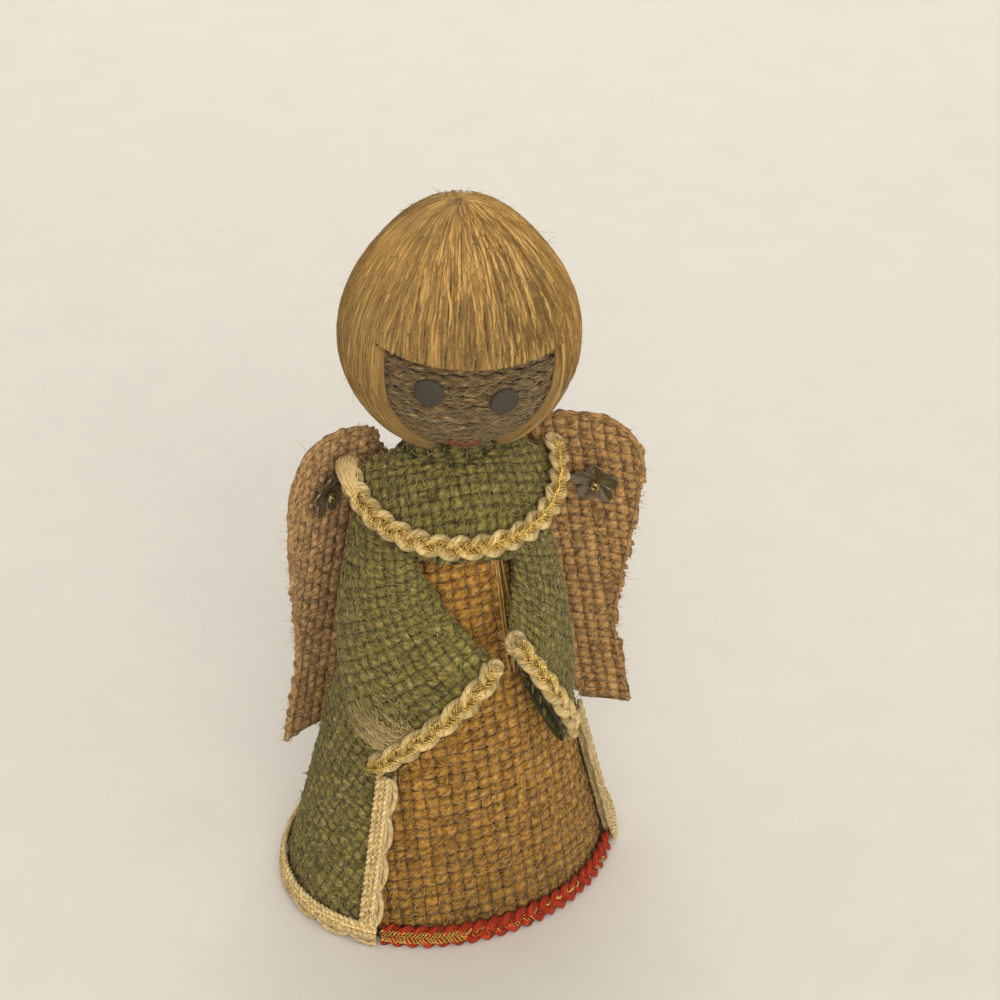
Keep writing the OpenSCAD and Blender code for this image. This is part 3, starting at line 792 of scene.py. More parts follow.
def loose_fibre(name):
    """Paler loose fibres of a burlap."""
    base = scaled(tuple(getattr(bpy.context.scene.angel_colours, name)), 0.22, shade(228, 208, 140))
    pale = scaled(base, 0.3, shade(240, 226, 170))
    return fibre_material(f"{name} fuzz", base, scaled(base, 0.5), pale, fineness=2.0, grain=0.3, twist=20.0,
                          depth=0.0, relief=0.2, roughness=0.9, sheen=0.1)


def cotton(name):
    """Cotton cord of a braid."""
    base = tuple(getattr(bpy.context.scene.angel_colours, name))
    light = shade(246, 150, 70) if name == "coral" else shade(255, 244, 220)
    pale = scaled(base, 0.35, light)
    return fibre_material(f"{name} cotton", base, scaled(base, 0.5), pale, fineness=6.0, grain=0.4, twist=4.5,
                          depth=0.45, relief=0.8, roughness=0.86, sheen=0.05)


def gold_thread():
    """Metal thread with a twist."""
    name = "gold thread"
    if name in bpy.data.materials:
        return bpy.data.materials[name]
    material, tree, shader = blank_material(name)
    place = strand_place(tree)
    lay = maths(tree, "ADD", place[1], maths(tree, "MULTIPLY", place[0], 0.3))
    foil = maths(tree, "SINE", maths(tree, "MULTIPLY", lay, 4 * math.pi))
    base = tuple(bpy.context.scene.angel_colours.gold)
    # Painted shade: the foil is darker where its twist dips.
    shaded_foil = blended(tree, ranged(tree, foil, -1.0, 0.4), scaled(base, 0.5), base)
    feed(tree, shader, {"Base Color": shaded_foil, "Normal": bump(tree, foil, 0.6, 0.2 * MM), "Metallic": 0.65,
                        "Roughness": 0.3})
    return material


def grain_material(name, base, dark, scale, roughness, relief, stretch=(1.0, 1.0, 1.0), metallic=0.0,
                   coat=0.0):
    """A material with a grain of its own size on the object, for felt, card, foam and sequins."""
    if name in bpy.data.materials:
        return bpy.data.materials[name]
    material, tree, shader = blank_material(name)
    place = add(tree, "ShaderNodeMapping", {0: add(tree, "ShaderNodeTexCoord").outputs["Object"], 3: stretch})
    grain = add(tree, "ShaderNodeTexNoise", {
        "Vector": place.outputs[0], "Scale": scale, "Detail": 4.0, "Roughness": 0.65}).outputs[0]
    feed(tree, shader, {
        "Base Color": blended(tree, ranged(tree, grain, 0.32, 0.68), dark, base),
        "Roughness": ranged(tree, grain, 0.3, 0.7, roughness - 0.08, roughness + 0.08),
        "Normal": bump(tree, grain, relief, 0.3 * MM),
        "Metallic": metallic, "Coat Weight": coat})
    return material


# Cloth

def woven(name, hue, place, inside, x_span, y_span, pitch, fibre_area, seed, relief=1.0, two_faced=False,
          painted_brightening=0.0):
    """Yarns of a cloth, and the loose fibres on it, as many as suit an area."""
    count = int(bpy.context.scene.angel_cloth.fibre_count * fibre_area / (10 * MM) ** 2)
    yarns = weave(place, inside, x_span, y_span, pitch, seed, relief, painted_brightening)
    fibres = loose_fibres(place, inside, x_span, y_span, count, 100 + seed, two_faced)
    return [strands_object(f"{name}_yarns", yarns, burlap(hue)),
            strands_object(f"{name}_fibres", fibres, loose_fibre(hue))]


def cloth_piece(ground, pieces, body, slot, node):
    """Joins a cloth to its body: its ground as the sheet, in place of the node, with its yarns and fibres on
    it.
    """
    carried(ground, body, slot, node)
    for piece in pieces:
        carried(piece, body, slot)


class ANGEL_OT_gown(bpy.types.Operator):
    """Model the tan gown round the cone"""

    bl_idname = "angel.gown"
    bl_label = "Gown"

    def execute(self, context):
        cloth = context.scene.angel_cloth
        material = burlap("gown")
        cut = skirt_cut(GOWN_MIDDLE, FRONT)
        side_length = GOWN_TOP / cut.cosine
        hidden, under_collar, under_yarns = 7.0, 3.5 * MM, 0.3 * MM
        half = COAT_OPENING / 2 + hidden
        top = (COLLAR_TOP - under_collar) / cut.cosine

        def place(x, y, height):
            angle, up = cut.rolled(x, y)
            return skirt_point(angle, up * cut.cosine, GOWN_MIDDLE + height)

        def inside(x, y):
            angle, up = cut.rolled(x, y)
            return (np.abs(angle - FRONT) < half) & (up > cloth.gown_weft / 2) & (up < top)

        ground = sheet_object("gown_cloth", 72, 24, lambda u, v: skirt_point(
            mix(FRONT - 180, FRONT + 180, u), v * GOWN_TOP, GOWN_MIDDLE - under_yarns), material)
        reach = cut.reach * math.sin(math.radians(half * cut.sine))
        wide, long, area = cut.cut_size(180.0, side_length)
        # The gown is painted paler towards its top, as painted light on the chest that the collar and sleeves
        # shade.
        pieces = woven("gown", "gown", place, inside, (-reach, reach), (0.0, side_length),
                       (cloth.gown_warp, cloth.gown_weft), 0.3 * area, seed=11, painted_brightening=2.2)
        cloth_piece(ground, pieces, FIGURE, "gown_burlap", "gown")
        return {"FINISHED"}


class ANGEL_OT_coat(bpy.types.Operator):
    """Model the olive coat over the gown"""

    bl_idname = "angel.coat"
    bl_label = "Coat"

    def execute(self, context):
        pitch = context.scene.angel_cloth.coat_pitch
        material = burlap("coat")
        back = FRONT + 180
        half = 180 - COAT_OPENING / 2
        cut = skirt_cut(COAT_MIDDLE, back)
        side_length = COAT_TOP / cut.cosine

        def place(x, y, height):
            angle, up = cut.rolled(x, y)
            return skirt_point(angle, up * cut.cosine, COAT_MIDDLE + height)

        def inside(x, y):
            angle, up = cut.rolled(x, y)
            return (np.abs(angle - back) < half) & (up > pitch / 2) & (up < side_length)

        ground = sheet_object("coat_cloth", 60, 24, lambda u, v: skirt_point(
            mix(back - half, back + half, u), v * COAT_TOP, COAT_MIDDLE), material)
        wide, long, area = cut.cut_size(half, side_length)
        pieces = woven("coat", "coat", place, inside, (-wide / 2, wide / 2), (0.0, long),
                       (1.12 * pitch, pitch), 0.8 * area, seed=12, relief=0.7)
        cloth_piece(ground, pieces, FIGURE, "coat_burlap", "coat")
        return {"FINISHED"}


class ANGEL_OT_sleeves(bpy.types.Operator):
    """Model the bell sleeves"""

    bl_idname = "angel.sleeves"
    bl_label = "Sleeves"

    def execute(self, context):
        pitch = context.scene.angel_cloth.coat_pitch
        material = burlap("coat")
        for side, name in SIDE_NAMES.items():
            cut = SleeveCut(side)
            widest = cut.girth.max()
            ground = sheet_object(f"sleeve_{name}_cloth", 48, 20, lambda u, v, c=cut: c.place(
                (u - 0.5) * c.girth_at(v * c.long), v * c.long, 0.0 * u), material, flip=side == LEFT)
            area = cut.girth.mean() * cut.long
            pieces = woven(f"sleeve_{name}", "coat", cut.place, cut.inside, (-widest / 2, widest / 2),
                           (0.0, cut.long), (pitch, 1.05 * pitch), 1.3 * area, seed=20 + side,
                           relief=0.7)
            cloth_piece(ground, pieces, FIGURE, "coat_burlap", f"sleeve_{name}")
        return {"FINISHED"}


class ANGEL_OT_collar(bpy.types.Operator):
    """Model the half-round collar"""

    bl_idname = "angel.collar"
    bl_label = "Collar"

    def execute(self, context):
        pitch = context.scene.angel_cloth.coat_pitch
        material = burlap("coat")
        fall = COLLAR_DROP - 0.3 * COLLAR_LIFT
        slant = math.hypot(COLLAR_R - COLLAR_IN_R, fall)
        cut = ConeCut(COLLAR_R, (COLLAR_R - COLLAR_IN_R) / slant, 0.0)
        half = COLLAR_SPAN / 2
        middle = -BURLAP_T / 2

        def place(x, y, height):
            angle, up = cut.rolled(x, y)
            return collar_point(angle, up / slant, middle + height)

        def inside(x, y):
            angle, up = cut.rolled(x, y)
            return (np.abs(angle) < half) & (up > -1.2 * MM) & (up < slant)

        ground = sheet_object("collar_cloth", 48, 14, lambda u, v: collar_point(
            COLLAR_SPAN * (u - 0.5), v, middle), material)
        wide, long, area = cut.cut_size(half, slant)
        pieces = woven("collar", "coat", place, inside, (-wide / 2, wide / 2), (-2.0 * MM, long),
                       (pitch, 0.95 * pitch), 1.4 * area, seed=13, relief=0.7)
        pieces.append(strands_object("collar_neck", self.neck_rows(pitch), material))
        pieces.append(strands_object("collar_neck_fibres", self.neck_fibres(), loose_fibre("coat")))
        cloth_piece(ground, pieces, FIGURE, "coat_burlap", "collar")
        return {"FINISHED"}

    def neck_rows(self, pitch):
        """Rows of yarn that stand up round the neck inside the collar."""
        rng = np.random.default_rng(14)
        beside, full_ring, crimp = 64.0, COLLAR_TOP - 3.4 * MM, 0.45 * MM
        low, high = COAT_TOP - 1.0 * MM, GOWN_TOP - 0.5 * MM
        rows = []
        for z in np.linspace(low, high, 1 + math.ceil((high - low) / (0.62 * pitch))):
            angles = np.linspace(FRONT + beside, FRONT + 360 - beside, 60)
            if z > full_ring:
                angles = np.linspace(0, 360, 90)
            band = Band(skirt_point(angles, z, GOWN_MIDDLE), skirt_normal(angles, np.full_like(angles, z)))
            wave = crimp * np.cos(np.pi * (band.along / (0.9 * pitch) + len(rows)))
            width = 0.72 * pitch * uneven(rng, band.along, 9 * MM, 0.15)
            # The wave also gives painted shade in the dips of the rows.
            rows.append(band.cord(0.0, wave, width, 0.7 * width, 6, rng.random()))
        return rows

    def neck_fibres(self):
        """Loose fibres on those rows."""
        def place(x, y, height):
            return skirt_point(np.degrees(x / COLLAR_IN_R), y, GOWN_MIDDLE + 0.2 * MM + height)

        reach = math.pi * COLLAR_IN_R
        return loose_fibres(place, lambda x, y: y > 0, (-reach, reach), (COLLAR_TOP, GOWN_TOP), 160, 15)


class ANGEL_OT_wings(bpy.types.Operator):
    """Model the curled wings"""

    bl_idname = "angel.wings"
    bl_label = "Wings"

    def execute(self, context):
        pitch = context.scene.angel_cloth.wing_pitch
        for side, name in SIDE_NAMES.items():
            body = f"wing_{name}"
            material = burlap(body)

            def ground_point(u, v, side=side):
                z = mix(WING_LOW, WING_TOP - 0.2 * MM, v)
                inner, outer = wing_edges(z)
                return wing_point(side, mix(inner, outer, u), z, 0.0)

            def place(x, y, height, side=side):
                return wing_point(side, x, y, height)

            def inside(x, y):
                inner, outer = wing_edges(y)
                return (x > inner) & (x < outer) & (y > WING_LOW) & (y < WING_TOP)

            ground = sheet_object(f"{body}_cloth", 14, 40, ground_point, material, flip=side == RIGHT)
            z = np.linspace(WING_LOW, WING_TOP, 200)
            inner, outer = wing_edges(z)
            wide, area = outer.max() - inner.min(), (outer - inner).mean() * WING_H
            pieces = woven(body, body, place, inside, (-12 * MM, 44 * MM), (WING_LOW, WING_TOP),
                           (1.1 * pitch, pitch), 1.3 * area, seed=30 + side, relief=0.85, two_faced=True)
            pieces.append(strands_object(f"{body}_edge", [self.edge_cord(side)], material))
            cloth_piece(ground, pieces, body, "wing_burlap", body)
        return {"FINISHED"}

    def edge_cord(self, side):
        """The glued yarn along the cut edge of a wing."""
        rng = np.random.default_rng(34 + side)
        inset, width, thick = 0.45 * MM, 1.0 * MM, 1.7 * MM
        z = np.linspace(WING_LOW + inset, WING_TOP - 0.02 * MM, 160)
        inner, outer = wing_edges(z)
        u = np.concatenate([outer - inset, inner[::-1] + inset])
        z = np.concatenate([z, z[::-1]])
        points = wing_point(side, u, z, 0.0)
        band = Band(points, wing_point(side, u, z, 1.0 * MM) - points)
        plump = uneven(rng, band.along, 9 * MM, 0.15)
        aside = 0.12 * MM * wander(rng, band.along, 14 * MM)
        return band.cord(aside, 0.0, width * plump, thick * plump, 7, 0.6)


# Braids

class Band:
    """A path at even steps over a surface, along which cords are laid."""

    def __init__(self, points, normals):
        step = 0.4 * MM
        run = run_along(points)
        self.along = np.linspace(0, run[-1], max(8, int(run[-1] / step)))
        self.path = follow(self.along, run, points)
        ahead = unit(np.gradient(self.path, axis=0))
        up = unit(follow(self.along, run, normals))
        self.up = unit(up - (up * ahead).sum(-1, keepdims=True) * ahead)
        self.across = np.cross(self.up, ahead)

    def cord(self, aside, lift, width, thick, sides, tone):
        """A cord that runs along the band, aside from its middle and lifted off it, with painted shade where
        it lies low.
        """
        end_taper, highest = 0.7, 1.4 * MM
        cosine, sine = ring(sides)
        taper = np.ones(len(self.path))
        taper[[0, -1]] = end_taper
        aside, lift = np.broadcast_to(aside, taper.shape), np.broadcast_to(lift, taper.shape)
        sideways = aside[:, None] + (width * taper)[:, None] / 2 * cosine
        upwards = lift[:, None] + (thick * taper)[:, None] / 2 * sine
        points = self.path[:, None] + sideways[..., None] * self.across[:, None]
        points = points + upwards[..., None] * self.up[:, None]
        # Painted shade: the lower the cord lies, the darker it is painted.
        return strand(points, np.clip(0.5 + lift / highest, 0, 1), tone)


def plait(points, normals, lobe, seed, gilt=(0.0, 1.0)):
    """Cords and gold threads of a flat plait of three, with the gold on a share of its length."""
    trim = bpy.context.scene.angel_trim
    rng = np.random.default_rng(seed)
    band = Band(points, normals)
    along = band.along
    swing, dip, stitch, threads = 1.75 * MM, 0.42 * MM, 2.6 * MM, 3
    fade, gold_sunk, gold_sides = 0.08, 1.1 * MM, 5
    column_at, column_w, gold_up, gold_dip = 0.72, 0.62, 0.72, 0.5
    share = along / along[-1]
    bare = gold_sunk * np.clip(np.maximum(gilt[0] - share, share - gilt[1]) / fade, 0, 1)
    cords, golds = [], []
    for k in range(3):
        turn = 2 * np.pi * (along / (3 * lobe) + k / 3)
        plump = uneven(rng, along, 9 * MM, 0.12)
        cords.append(band.cord(swing * np.sin(turn), dip * np.sin(2 * turn), trim.cord_w * plump,
                               trim.cord_t * plump, 8, rng.random()))
    for column in (-1, 1):
        for k in range(threads):
            phase = 2 * np.pi * (along / stitch + k / threads) + 0.5 * wander(rng, along, 9 * MM)
            aside = column * (column_at - column_w * np.cos(phase)) * MM
            fleck = np.clip(2.5 * wander(rng, along, 30 * MM) - 0.5, 0, 1)
            lift = (gold_up + gold_dip * np.sin(phase) + 0.1 * wander(rng, along, 6 * MM)) * MM
            lift = lift - bare * (1 - 0.7 * fleck)
            golds.append(band.cord(aside, lift, trim.gold_d, trim.gold_d, gold_sides, rng.random()))
    return cords, golds


def picot_braid(points, normals, side, seed, turned_under=None):
    """Cords and gold thread of a flat chain braid, with loops along one side or turned under an edge."""
    trim = bpy.context.scene.angel_trim
    rng = np.random.default_rng(seed)
    band = Band(points, normals)
    along = band.along
    stitch, cord_sides, gold_sides = 2.7 * MM, 6, 5
    swing, dip, gold_swing, gold_up, gold_dip = 0.26 * MM, 0.24 * MM, 0.5 * MM, 0.28 * MM, 0.42 * MM
    cords = []
    for row, middle in enumerate((-1.3 * MM, -0.1 * MM, 1.1 * MM)):
        for ply in range(2):
            link = 2 * np.pi * (along / stitch + ply / 2 + row / 3)
            aside = side * (middle + swing * np.sin(link))
            width = 1.0 * MM * uneven(rng, along, 8 * MM, 0.12)
            cords.append(band.cord(aside, dip * np.cos(link), width, width, cord_sides, rng.random()))
    loop = np.abs(np.sin(np.pi * along / trim.picot)) ** 0.6
    for start, reach, width in ((1.5 * MM, 1.7 * MM, 1.25 * MM), (1.5 * MM, 0.5 * MM, 1.0 * MM)):
        width = width * uneven(rng, along, 7 * MM, 0.12)
        aside = side * (start + reach * loop)
        cords.append(band.cord(aside, -0.2 * MM, width, 0.95 * width, cord_sides, rng.random()))
    for drop in (1.0 * MM, 1.8 * MM) if turned_under else ():
        width = 1.1 * MM * uneven(rng, along, 8 * MM, 0.12)
        cords.append(band.cord(side * turned_under, -drop, width, width, cord_sides, rng.random()))
    link = 2 * np.pi * along / stitch
    gold_d = 0.8 * trim.gold_d
    lift = gold_up + gold_dip * np.cos(link + 1.0)
    golds = []
    for middle in (-0.7 * MM, 0.5 * MM):
        aside = side * (middle + gold_swing * np.sin(link))
        golds.append(band.cord(aside, lift, gold_d, gold_d, gold_sides, rng.random()))
    return cords, golds


def end_loop(centre, up, ahead, radius, seed):
    """A cord turned back on itself at the end of a braid."""
    rng = np.random.default_rng(seed)
    width = 1.5 * MM
    turn = np.radians(np.linspace(-150, 150, 40))[:, None]
    points = centre + radius * (np.cos(turn) * ahead + np.sin(turn) * np.cross(up, ahead))
    return Band(points, np.broadcast_to(up, points.shape)).cord(0.0, 0.0, width, width, 8, rng.random())


def skirt_normal(angle, z):
    """Direction out of the skirt."""
    out = skirt_point(angle, z, 1.0 * MM) - skirt_point(angle, z, 0.0)
    return unit(out / MM + [0.0, 0.0, SLOPE])


def hem_path(first, last, layer, height):
    """Path and normals of a braid round the skirt."""
    angles = np.linspace(first, last, 160)
    off = layer + GLUE + BRAID_T / 2
    return skirt_point(angles, height, off), skirt_normal(angles, np.full_like(angles, height))


def edge_path(side):
    """Path and normals of the braid up one front edge of the coat."""
    angle = FRONT + side * (COAT_OPENING / 2 + EDGE_INSET[side])
    z = np.linspace(HEM_CLEAR + BRAID_W, CUFF[0][1] - 4 * MM, 60)
    off = COAT_OUT + GLUE + BRAID_T / 2
    return skirt_point(angle, z, off), skirt_normal(np.full_like(z, angle), z)


def cuff_path(side):
    """Path and normals of the braid on one cuff."""
    along, wall = 0.955, 0.0
    around = np.linspace(10, 158, 80)
    forward = sleeve_point(side, along, around, wall) - sleeve_point(side, along - 0.02, around, wall)
    onward = sleeve_point(side, along, around + 2, wall) - sleeve_point(side, along, around - 2, wall)
    normals = side * unit(np.cross(onward, forward))
    return sleeve_point(side, along, around, wall) + (GLUE + BRAID_T / 2) * normals, normals


def collar_path():
    """Path and normals of the braid on the collar's edge."""
    inward, step, room = 0.05, 0.05, 0.35 * MM
    angles = np.linspace(-COLLAR_SPAN / 2, COLLAR_SPAN / 2, 120)
    onward = collar_point(angles + 1, inward, 0.0) - collar_point(angles - 1, inward, 0.0)
    upward = collar_point(angles, inward + step, 0.0) - collar_point(angles, inward - step, 0.0)
    normals = unit(np.cross(onward, upward))
    return collar_point(angles, inward, 0.0) + (GLUE + BRAID_T / 2 + room) * normals, normals


class ANGEL_OT_braids(bpy.types.Operator):
    """Model the braids with their gold thread"""

    bl_idname = "angel.braids"
    bl_label = "Braids"

    def execute(self, context):
        trim = context.scene.angel_trim
        half = COAT_OPENING / 2
        hem_z, gown_z = HEM_CLEAR + BRAID_W / 2 + 1.3 * MM, HEM_CLEAR + BRAID_W / 2
        made = {
            "coat_hem_braid": picot_braid(
                *hem_path(FRONT + half - 2, FRONT + 362 - half, COAT_OUT, hem_z), -1, 41),
            "gown_hem_braid": plait(
                *hem_path(FRONT - half + 3, FRONT + half - 3, GOWN_OUT, gown_z),
                0.75 * trim.lobe, 42, (0.0, 0.25)),
            "collar_braid": plait(*collar_path(), trim.lobe, 43),
        }
        for side, name in SIDE_NAMES.items():
            turned_under = math.radians(EDGE_INSET[side]) * 0.9 * FOOT_X + 0.55 * MM
            made[f"coat_edge_braid_{name}"] = picot_braid(*edge_path(side), side, 44 + side, turned_under)
            gilt = (0.6, 1.0) if side == LEFT else (0.0, 1.0)
            made[f"cuff_braid_{name}"] = plait(*cuff_path(side), 1.3 * trim.lobe, 48 + side, gilt)
        loops = {
            "collar_braid": (collar_path(), 2.0 * MM),
            "cuff_braid_left": (cuff_path(LEFT), 2.2 * MM),
            "cuff_braid_right": (cuff_path(RIGHT), 1.3 * MM),
        }
        for node, ((points, normals), radius) in loops.items():
            ahead = unit(points[-1] - points[-4])
            for size in (radius, 0.45 * radius):
                made[node][0].append(end_loop(points[-1], normals[-1], ahead, size, 52))
        for node, (cords, golds) in made.items():
            hue, slot = ("coral", "coral_braid") if node == "gown_hem_braid" else ("cream", "cream_braid")
            hue = "edging" if node.startswith("coat_") else hue
            carried(strands_object(f"{node}_cords", cords, cotton(hue)), FIGURE, slot, node)
            carried(strands_object(f"{node}_gold", golds, gold_thread()), FIGURE, slot)
        return {"FINISHED"}


# Head

def hair_jute():
    """Golden jute of the hair."""
    base = tuple(bpy.context.scene.angel_colours.hair)
    pale = scaled(base, 0.3, shade(240, 214, 150))
    return fibre_material("hair jute", base, scaled(base, 0.55), pale, fineness=3.0, grain=0.12, twist=60.0,
                          depth=0.65, relief=0.9, roughness=0.8, sheen=0.1)


def head_strand(longitude, latitude, radius, width, thick, sides, tone, lift):
    """A strand over the head."""
    cosine, sine = ring(sides)
    level = np.maximum(np.cos(np.radians(latitude)), 0.1)
    aside = np.degrees((width / 2 / (radius * level))[:, None] * cosine)
    out = radius[:, None] + thick[:, None] / 2 * sine
    return strand(head_point(longitude[:, None] + aside, latitude[:, None], out), lift, tone)


def drawn_in(latitude):
    """How far the hair beside the face is drawn in below the cheeks, in degrees."""
    cheek, fall, most = -18, 44, 15
    return most * np.clip((cheek - latitude) / fall, 0, 1) ** 1.5


def hair_strands(first, last, low_edge, seed):
    """Combed strands from the crown down to an edge, drawn in below the cheeks."""
    sizes = bpy.context.scene.angel_hair
    rng = np.random.default_rng(seed)
    proud_every, deepest, beside_face, sides = 6, 0.4 * MM, 45, 6
    count = int(sizes.strand_count * (last - first) / 360)
    share = np.linspace(0, 1, 34)
    strands = []
    for k in range(count):
        longitude = mix(first, last, (k + 0.5 + 0.5 * (rng.random() - 0.5)) / count)
        latitude = np.linspace(HAIR_TOP, low_edge(longitude), len(share))
        proud = k % proud_every == 0
        plump = (0.8 + 0.4 * rng.random()) * uneven(rng, share, 0.6, 0.1)
        narrow = np.clip(1.5 * np.cos(np.radians(latitude)), 0.35, 1.0)
        deep = 0.0 if proud else deepest * rng.random()
        radius = hair_radius(latitude) - 0.5 * sizes.strand_t - deep + 0.1 * MM * wander(rng, share, 0.4)
        path = longitude + (2.6 if proud else 1.3) * wander(rng, share, 1.1)
        from_face = min(longitude, 360 - longitude) - FACE_HALF
        near = np.clip(1 - from_face / beside_face, 0, 1) if from_face > 0 else 0.0
        drawn = near * drawn_in(latitude)
        path = path - drawn if longitude < 180 else path + drawn
        # Painted shade: strands that lie deeper, and the hair lower down the head, are painted darker.
        lift = (1.0 - 0.5 * deep / deepest) * mix(0.25, 1.0, np.clip((latitude + 40) / 110, 0, 1))
        width, thick = sizes.strand_w * plump * narrow, sizes.strand_t * plump * narrow ** 0.5
        tone = 0.2 + 0.6 * rng.random()
        strands.append(head_strand(path, latitude, radius, width, thick, sides, tone, lift))
    return strands


def cheek_strands():
    """Strands beside the face that close the step from the long hair down to the winding."""
    sizes = bpy.context.scene.angel_hair
    rng = np.random.default_rng(63)
    count, sides, step = 10, 6, 3.5
    share = np.linspace(0, 1, 30)
    latitude = mix(fringe_edge(FACE_HALF) + 3, HAIR_LOW, share)
    strands = []
    for side in (LEFT, RIGHT):
        for k in range(count):
            low = (k + 0.5) / count
            inward = drawn_in(latitude) + step * low ** 1.5
            longitude = side * (FACE_HALF - inward + 0.4 * wander(rng, share, 0.8))
            radius = mix(hair_radius(latitude) - 0.6 * sizes.strand_t, HAIR_IN_R - 0.4 * MM, low)
            size = np.full(len(share), sizes.strand_t * (0.85 + 0.3 * rng.random()))
            # Painted shade: lower strands, and those further down the cheek, are painted darker.
            lift = mix(0.6, 0.3, low) * mix(0.35, 1.0, np.clip((latitude + 40) / 60, 0, 1))
            tone = 0.2 + 0.5 * rng.random()
            strands.append(head_strand(longitude, latitude, radius, size, size, sides, tone, lift))
    return strands


class ANGEL_OT_hair(bpy.types.Operator):
    """Model the combed hair and the fringe"""

    bl_idname = "angel.hair"
    bl_label = "Hair"

    def execute(self, context):
        material = hair_jute()
        sunk = 1.15 * MM
        parts = {
            "hair_long": (FACE_HALF, 360 - FACE_HALF, lambda longitude: HAIR_LOW + 0 * longitude, 61),
            "hair_fringe": (-FACE_HALF, FACE_HALF, fringe_edge, 62),
        }
        for node, (first, last, low_edge, seed) in parts.items():
            def under(u, v, first=first, last=last, low_edge=low_edge):
                longitude = mix(first, last, u)
                latitude = mix(low_edge(longitude) + 0.6, 90.0, v)
                return head_point(longitude, latitude, hair_radius(latitude) - sunk)

            ground = sheet_object(f"{node}_ground", 60, 24, under, material)
            carried(ground, FIGURE, "jute_hair", node)
            made = hair_strands(first, last, low_edge, seed)
            if node == "hair_long":
                made += cheek_strands()
            carried(strands_object(f"{node}_strands", made, material), FIGURE, "jute_hair")
        return {"FINISHED"}


class ANGEL_OT_face(bpy.types.Operator):
    """Model the wound face, the eyes and the mouth"""

    bl_idname = "angel.face"
    bl_label = "Face"

    def execute(self, context):
        colours = context.scene.angel_colours
        base = tuple(colours.face)
        pale = scaled(base, 0.45, shade(236, 206, 156))
        twine = fibre_material("face jute", base, scaled(base, 0.34), pale, fineness=5.0, grain=0.35,
                               twist=14.0, depth=0.4, relief=1.2, roughness=0.9, sheen=0.12)
        winding = strands_object("face_winding_twine", self.winding(), twine)
        carried(winding, FIGURE, "face_twine", "face_winding")
        felt = grain_material("eye felt", tuple(colours.felt), scaled(colours.felt, 0.45), scale=2600.0,
                              roughness=0.9, relief=0.5)
        for name in SIDE_NAMES.values():
            carried(self.felt_dot(f"eye_{name}", felt), FIGURE, "black_felt", f"eye_{name}")
        lips = grain_material("lip felt", tuple(colours.lips), scaled(colours.lips, 0.55), scale=2200.0,
                              roughness=0.9, relief=0.5)
        recoat("mouth", lips)
        return {"FINISHED"}

    def winding(self):
        """One length of twine, of two plies, from under the fringe to the chin."""
        sizes = bpy.context.scene.angel_hair
        rng = np.random.default_rng(63)
        turns, steps, sides, high, low = 14, 190, 7, 26.0, -64.0
        ply_aside, ply_w, ply_rise, ply_t = 0.18, 0.36, 0.13, 0.37
        share = np.linspace(0, 1, turns * steps + 1)
        latitude = mix(high, low, share)
        longitude = 360 * turns * share
        level = np.cos(np.radians(latitude))
        along = np.cumsum(2 * np.pi * WIND_R * level / steps)
        cosine, sine = ring(sides)
        plump = uneven(rng, along, 16 * MM, 0.14)
        plies = []
        for k in range(2):
            turn = 2 * np.pi * along / sizes.twine_lay + np.pi * k + 0.5 * wander(rng, along, 30 * MM)
            aside = sizes.twine_w * (ply_aside * np.cos(turn)[:, None] + ply_w * plump[:, None] * cosine)
            out = TWINE_D * (ply_rise * np.sin(turn)[:, None] + ply_t * plump[:, None] * sine)
            down = latitude[:, None] + np.degrees(aside / WIND_R)
            points = head_point(longitude[:, None], down, WIND_R + out)
            # Painted shade where each ply dips under the other.
            plies.append(strand(points, 0.55 + 0.45 * np.sin(turn), 0.3 + 0.4 * k))
        return plies

    def felt_dot(self, node, material):
        """A felt disc with a soft edge, where the frame has it."""
        low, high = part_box(node)
        centre = (low + high) / 2
        out = (centre - Vector(HEAD)).normalized()
        radius, thick = 3.15 * MM, 0.9 * MM
        piece = primitive(f"{node}_felt", bpy.ops.mesh.primitive_cylinder_add, vertices=48, radius=radius,
                          depth=thick, end_fill_type="NGON")
        edit(bpy.ops.mesh.bevel, offset=0.3 * MM, segments=3, affect="EDGES")
        piece.data.transform(Matrix.Translation(centre) @ out.to_track_quat("Z", "Y").to_matrix().to_4x4())
        piece.data.materials.append(material)
        bpy.ops.object.shade_smooth_by_angle(angle=math.radians(50))
        return piece


# Flowers

def plate_frame(node):
    """Centre, facing and upward direction of a flat node on the front of a wing."""
    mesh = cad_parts[node].data
    points = np.array([v.co for v in mesh.vertices])
    centre = (points.min(0) + points.max(0)) / 2
    facing = np.linalg.svd(points - points.mean(0))[2][2]
    facing *= -np.sign(facing[1])
    up = unit(np.array([0.0, 0.0, 1.0]) - facing[2] * facing)
    return centre, facing, up


def placed(centre, facing, up):
    """Matrix that stands a piece on a wing, with its top facing out."""
    across = np.cross(up, facing)
    made = np.eye(4)
    made[:3, 0], made[:3, 1], made[:3, 2], made[:3, 3] = across, up, facing, centre
    return Matrix(made.tolist())


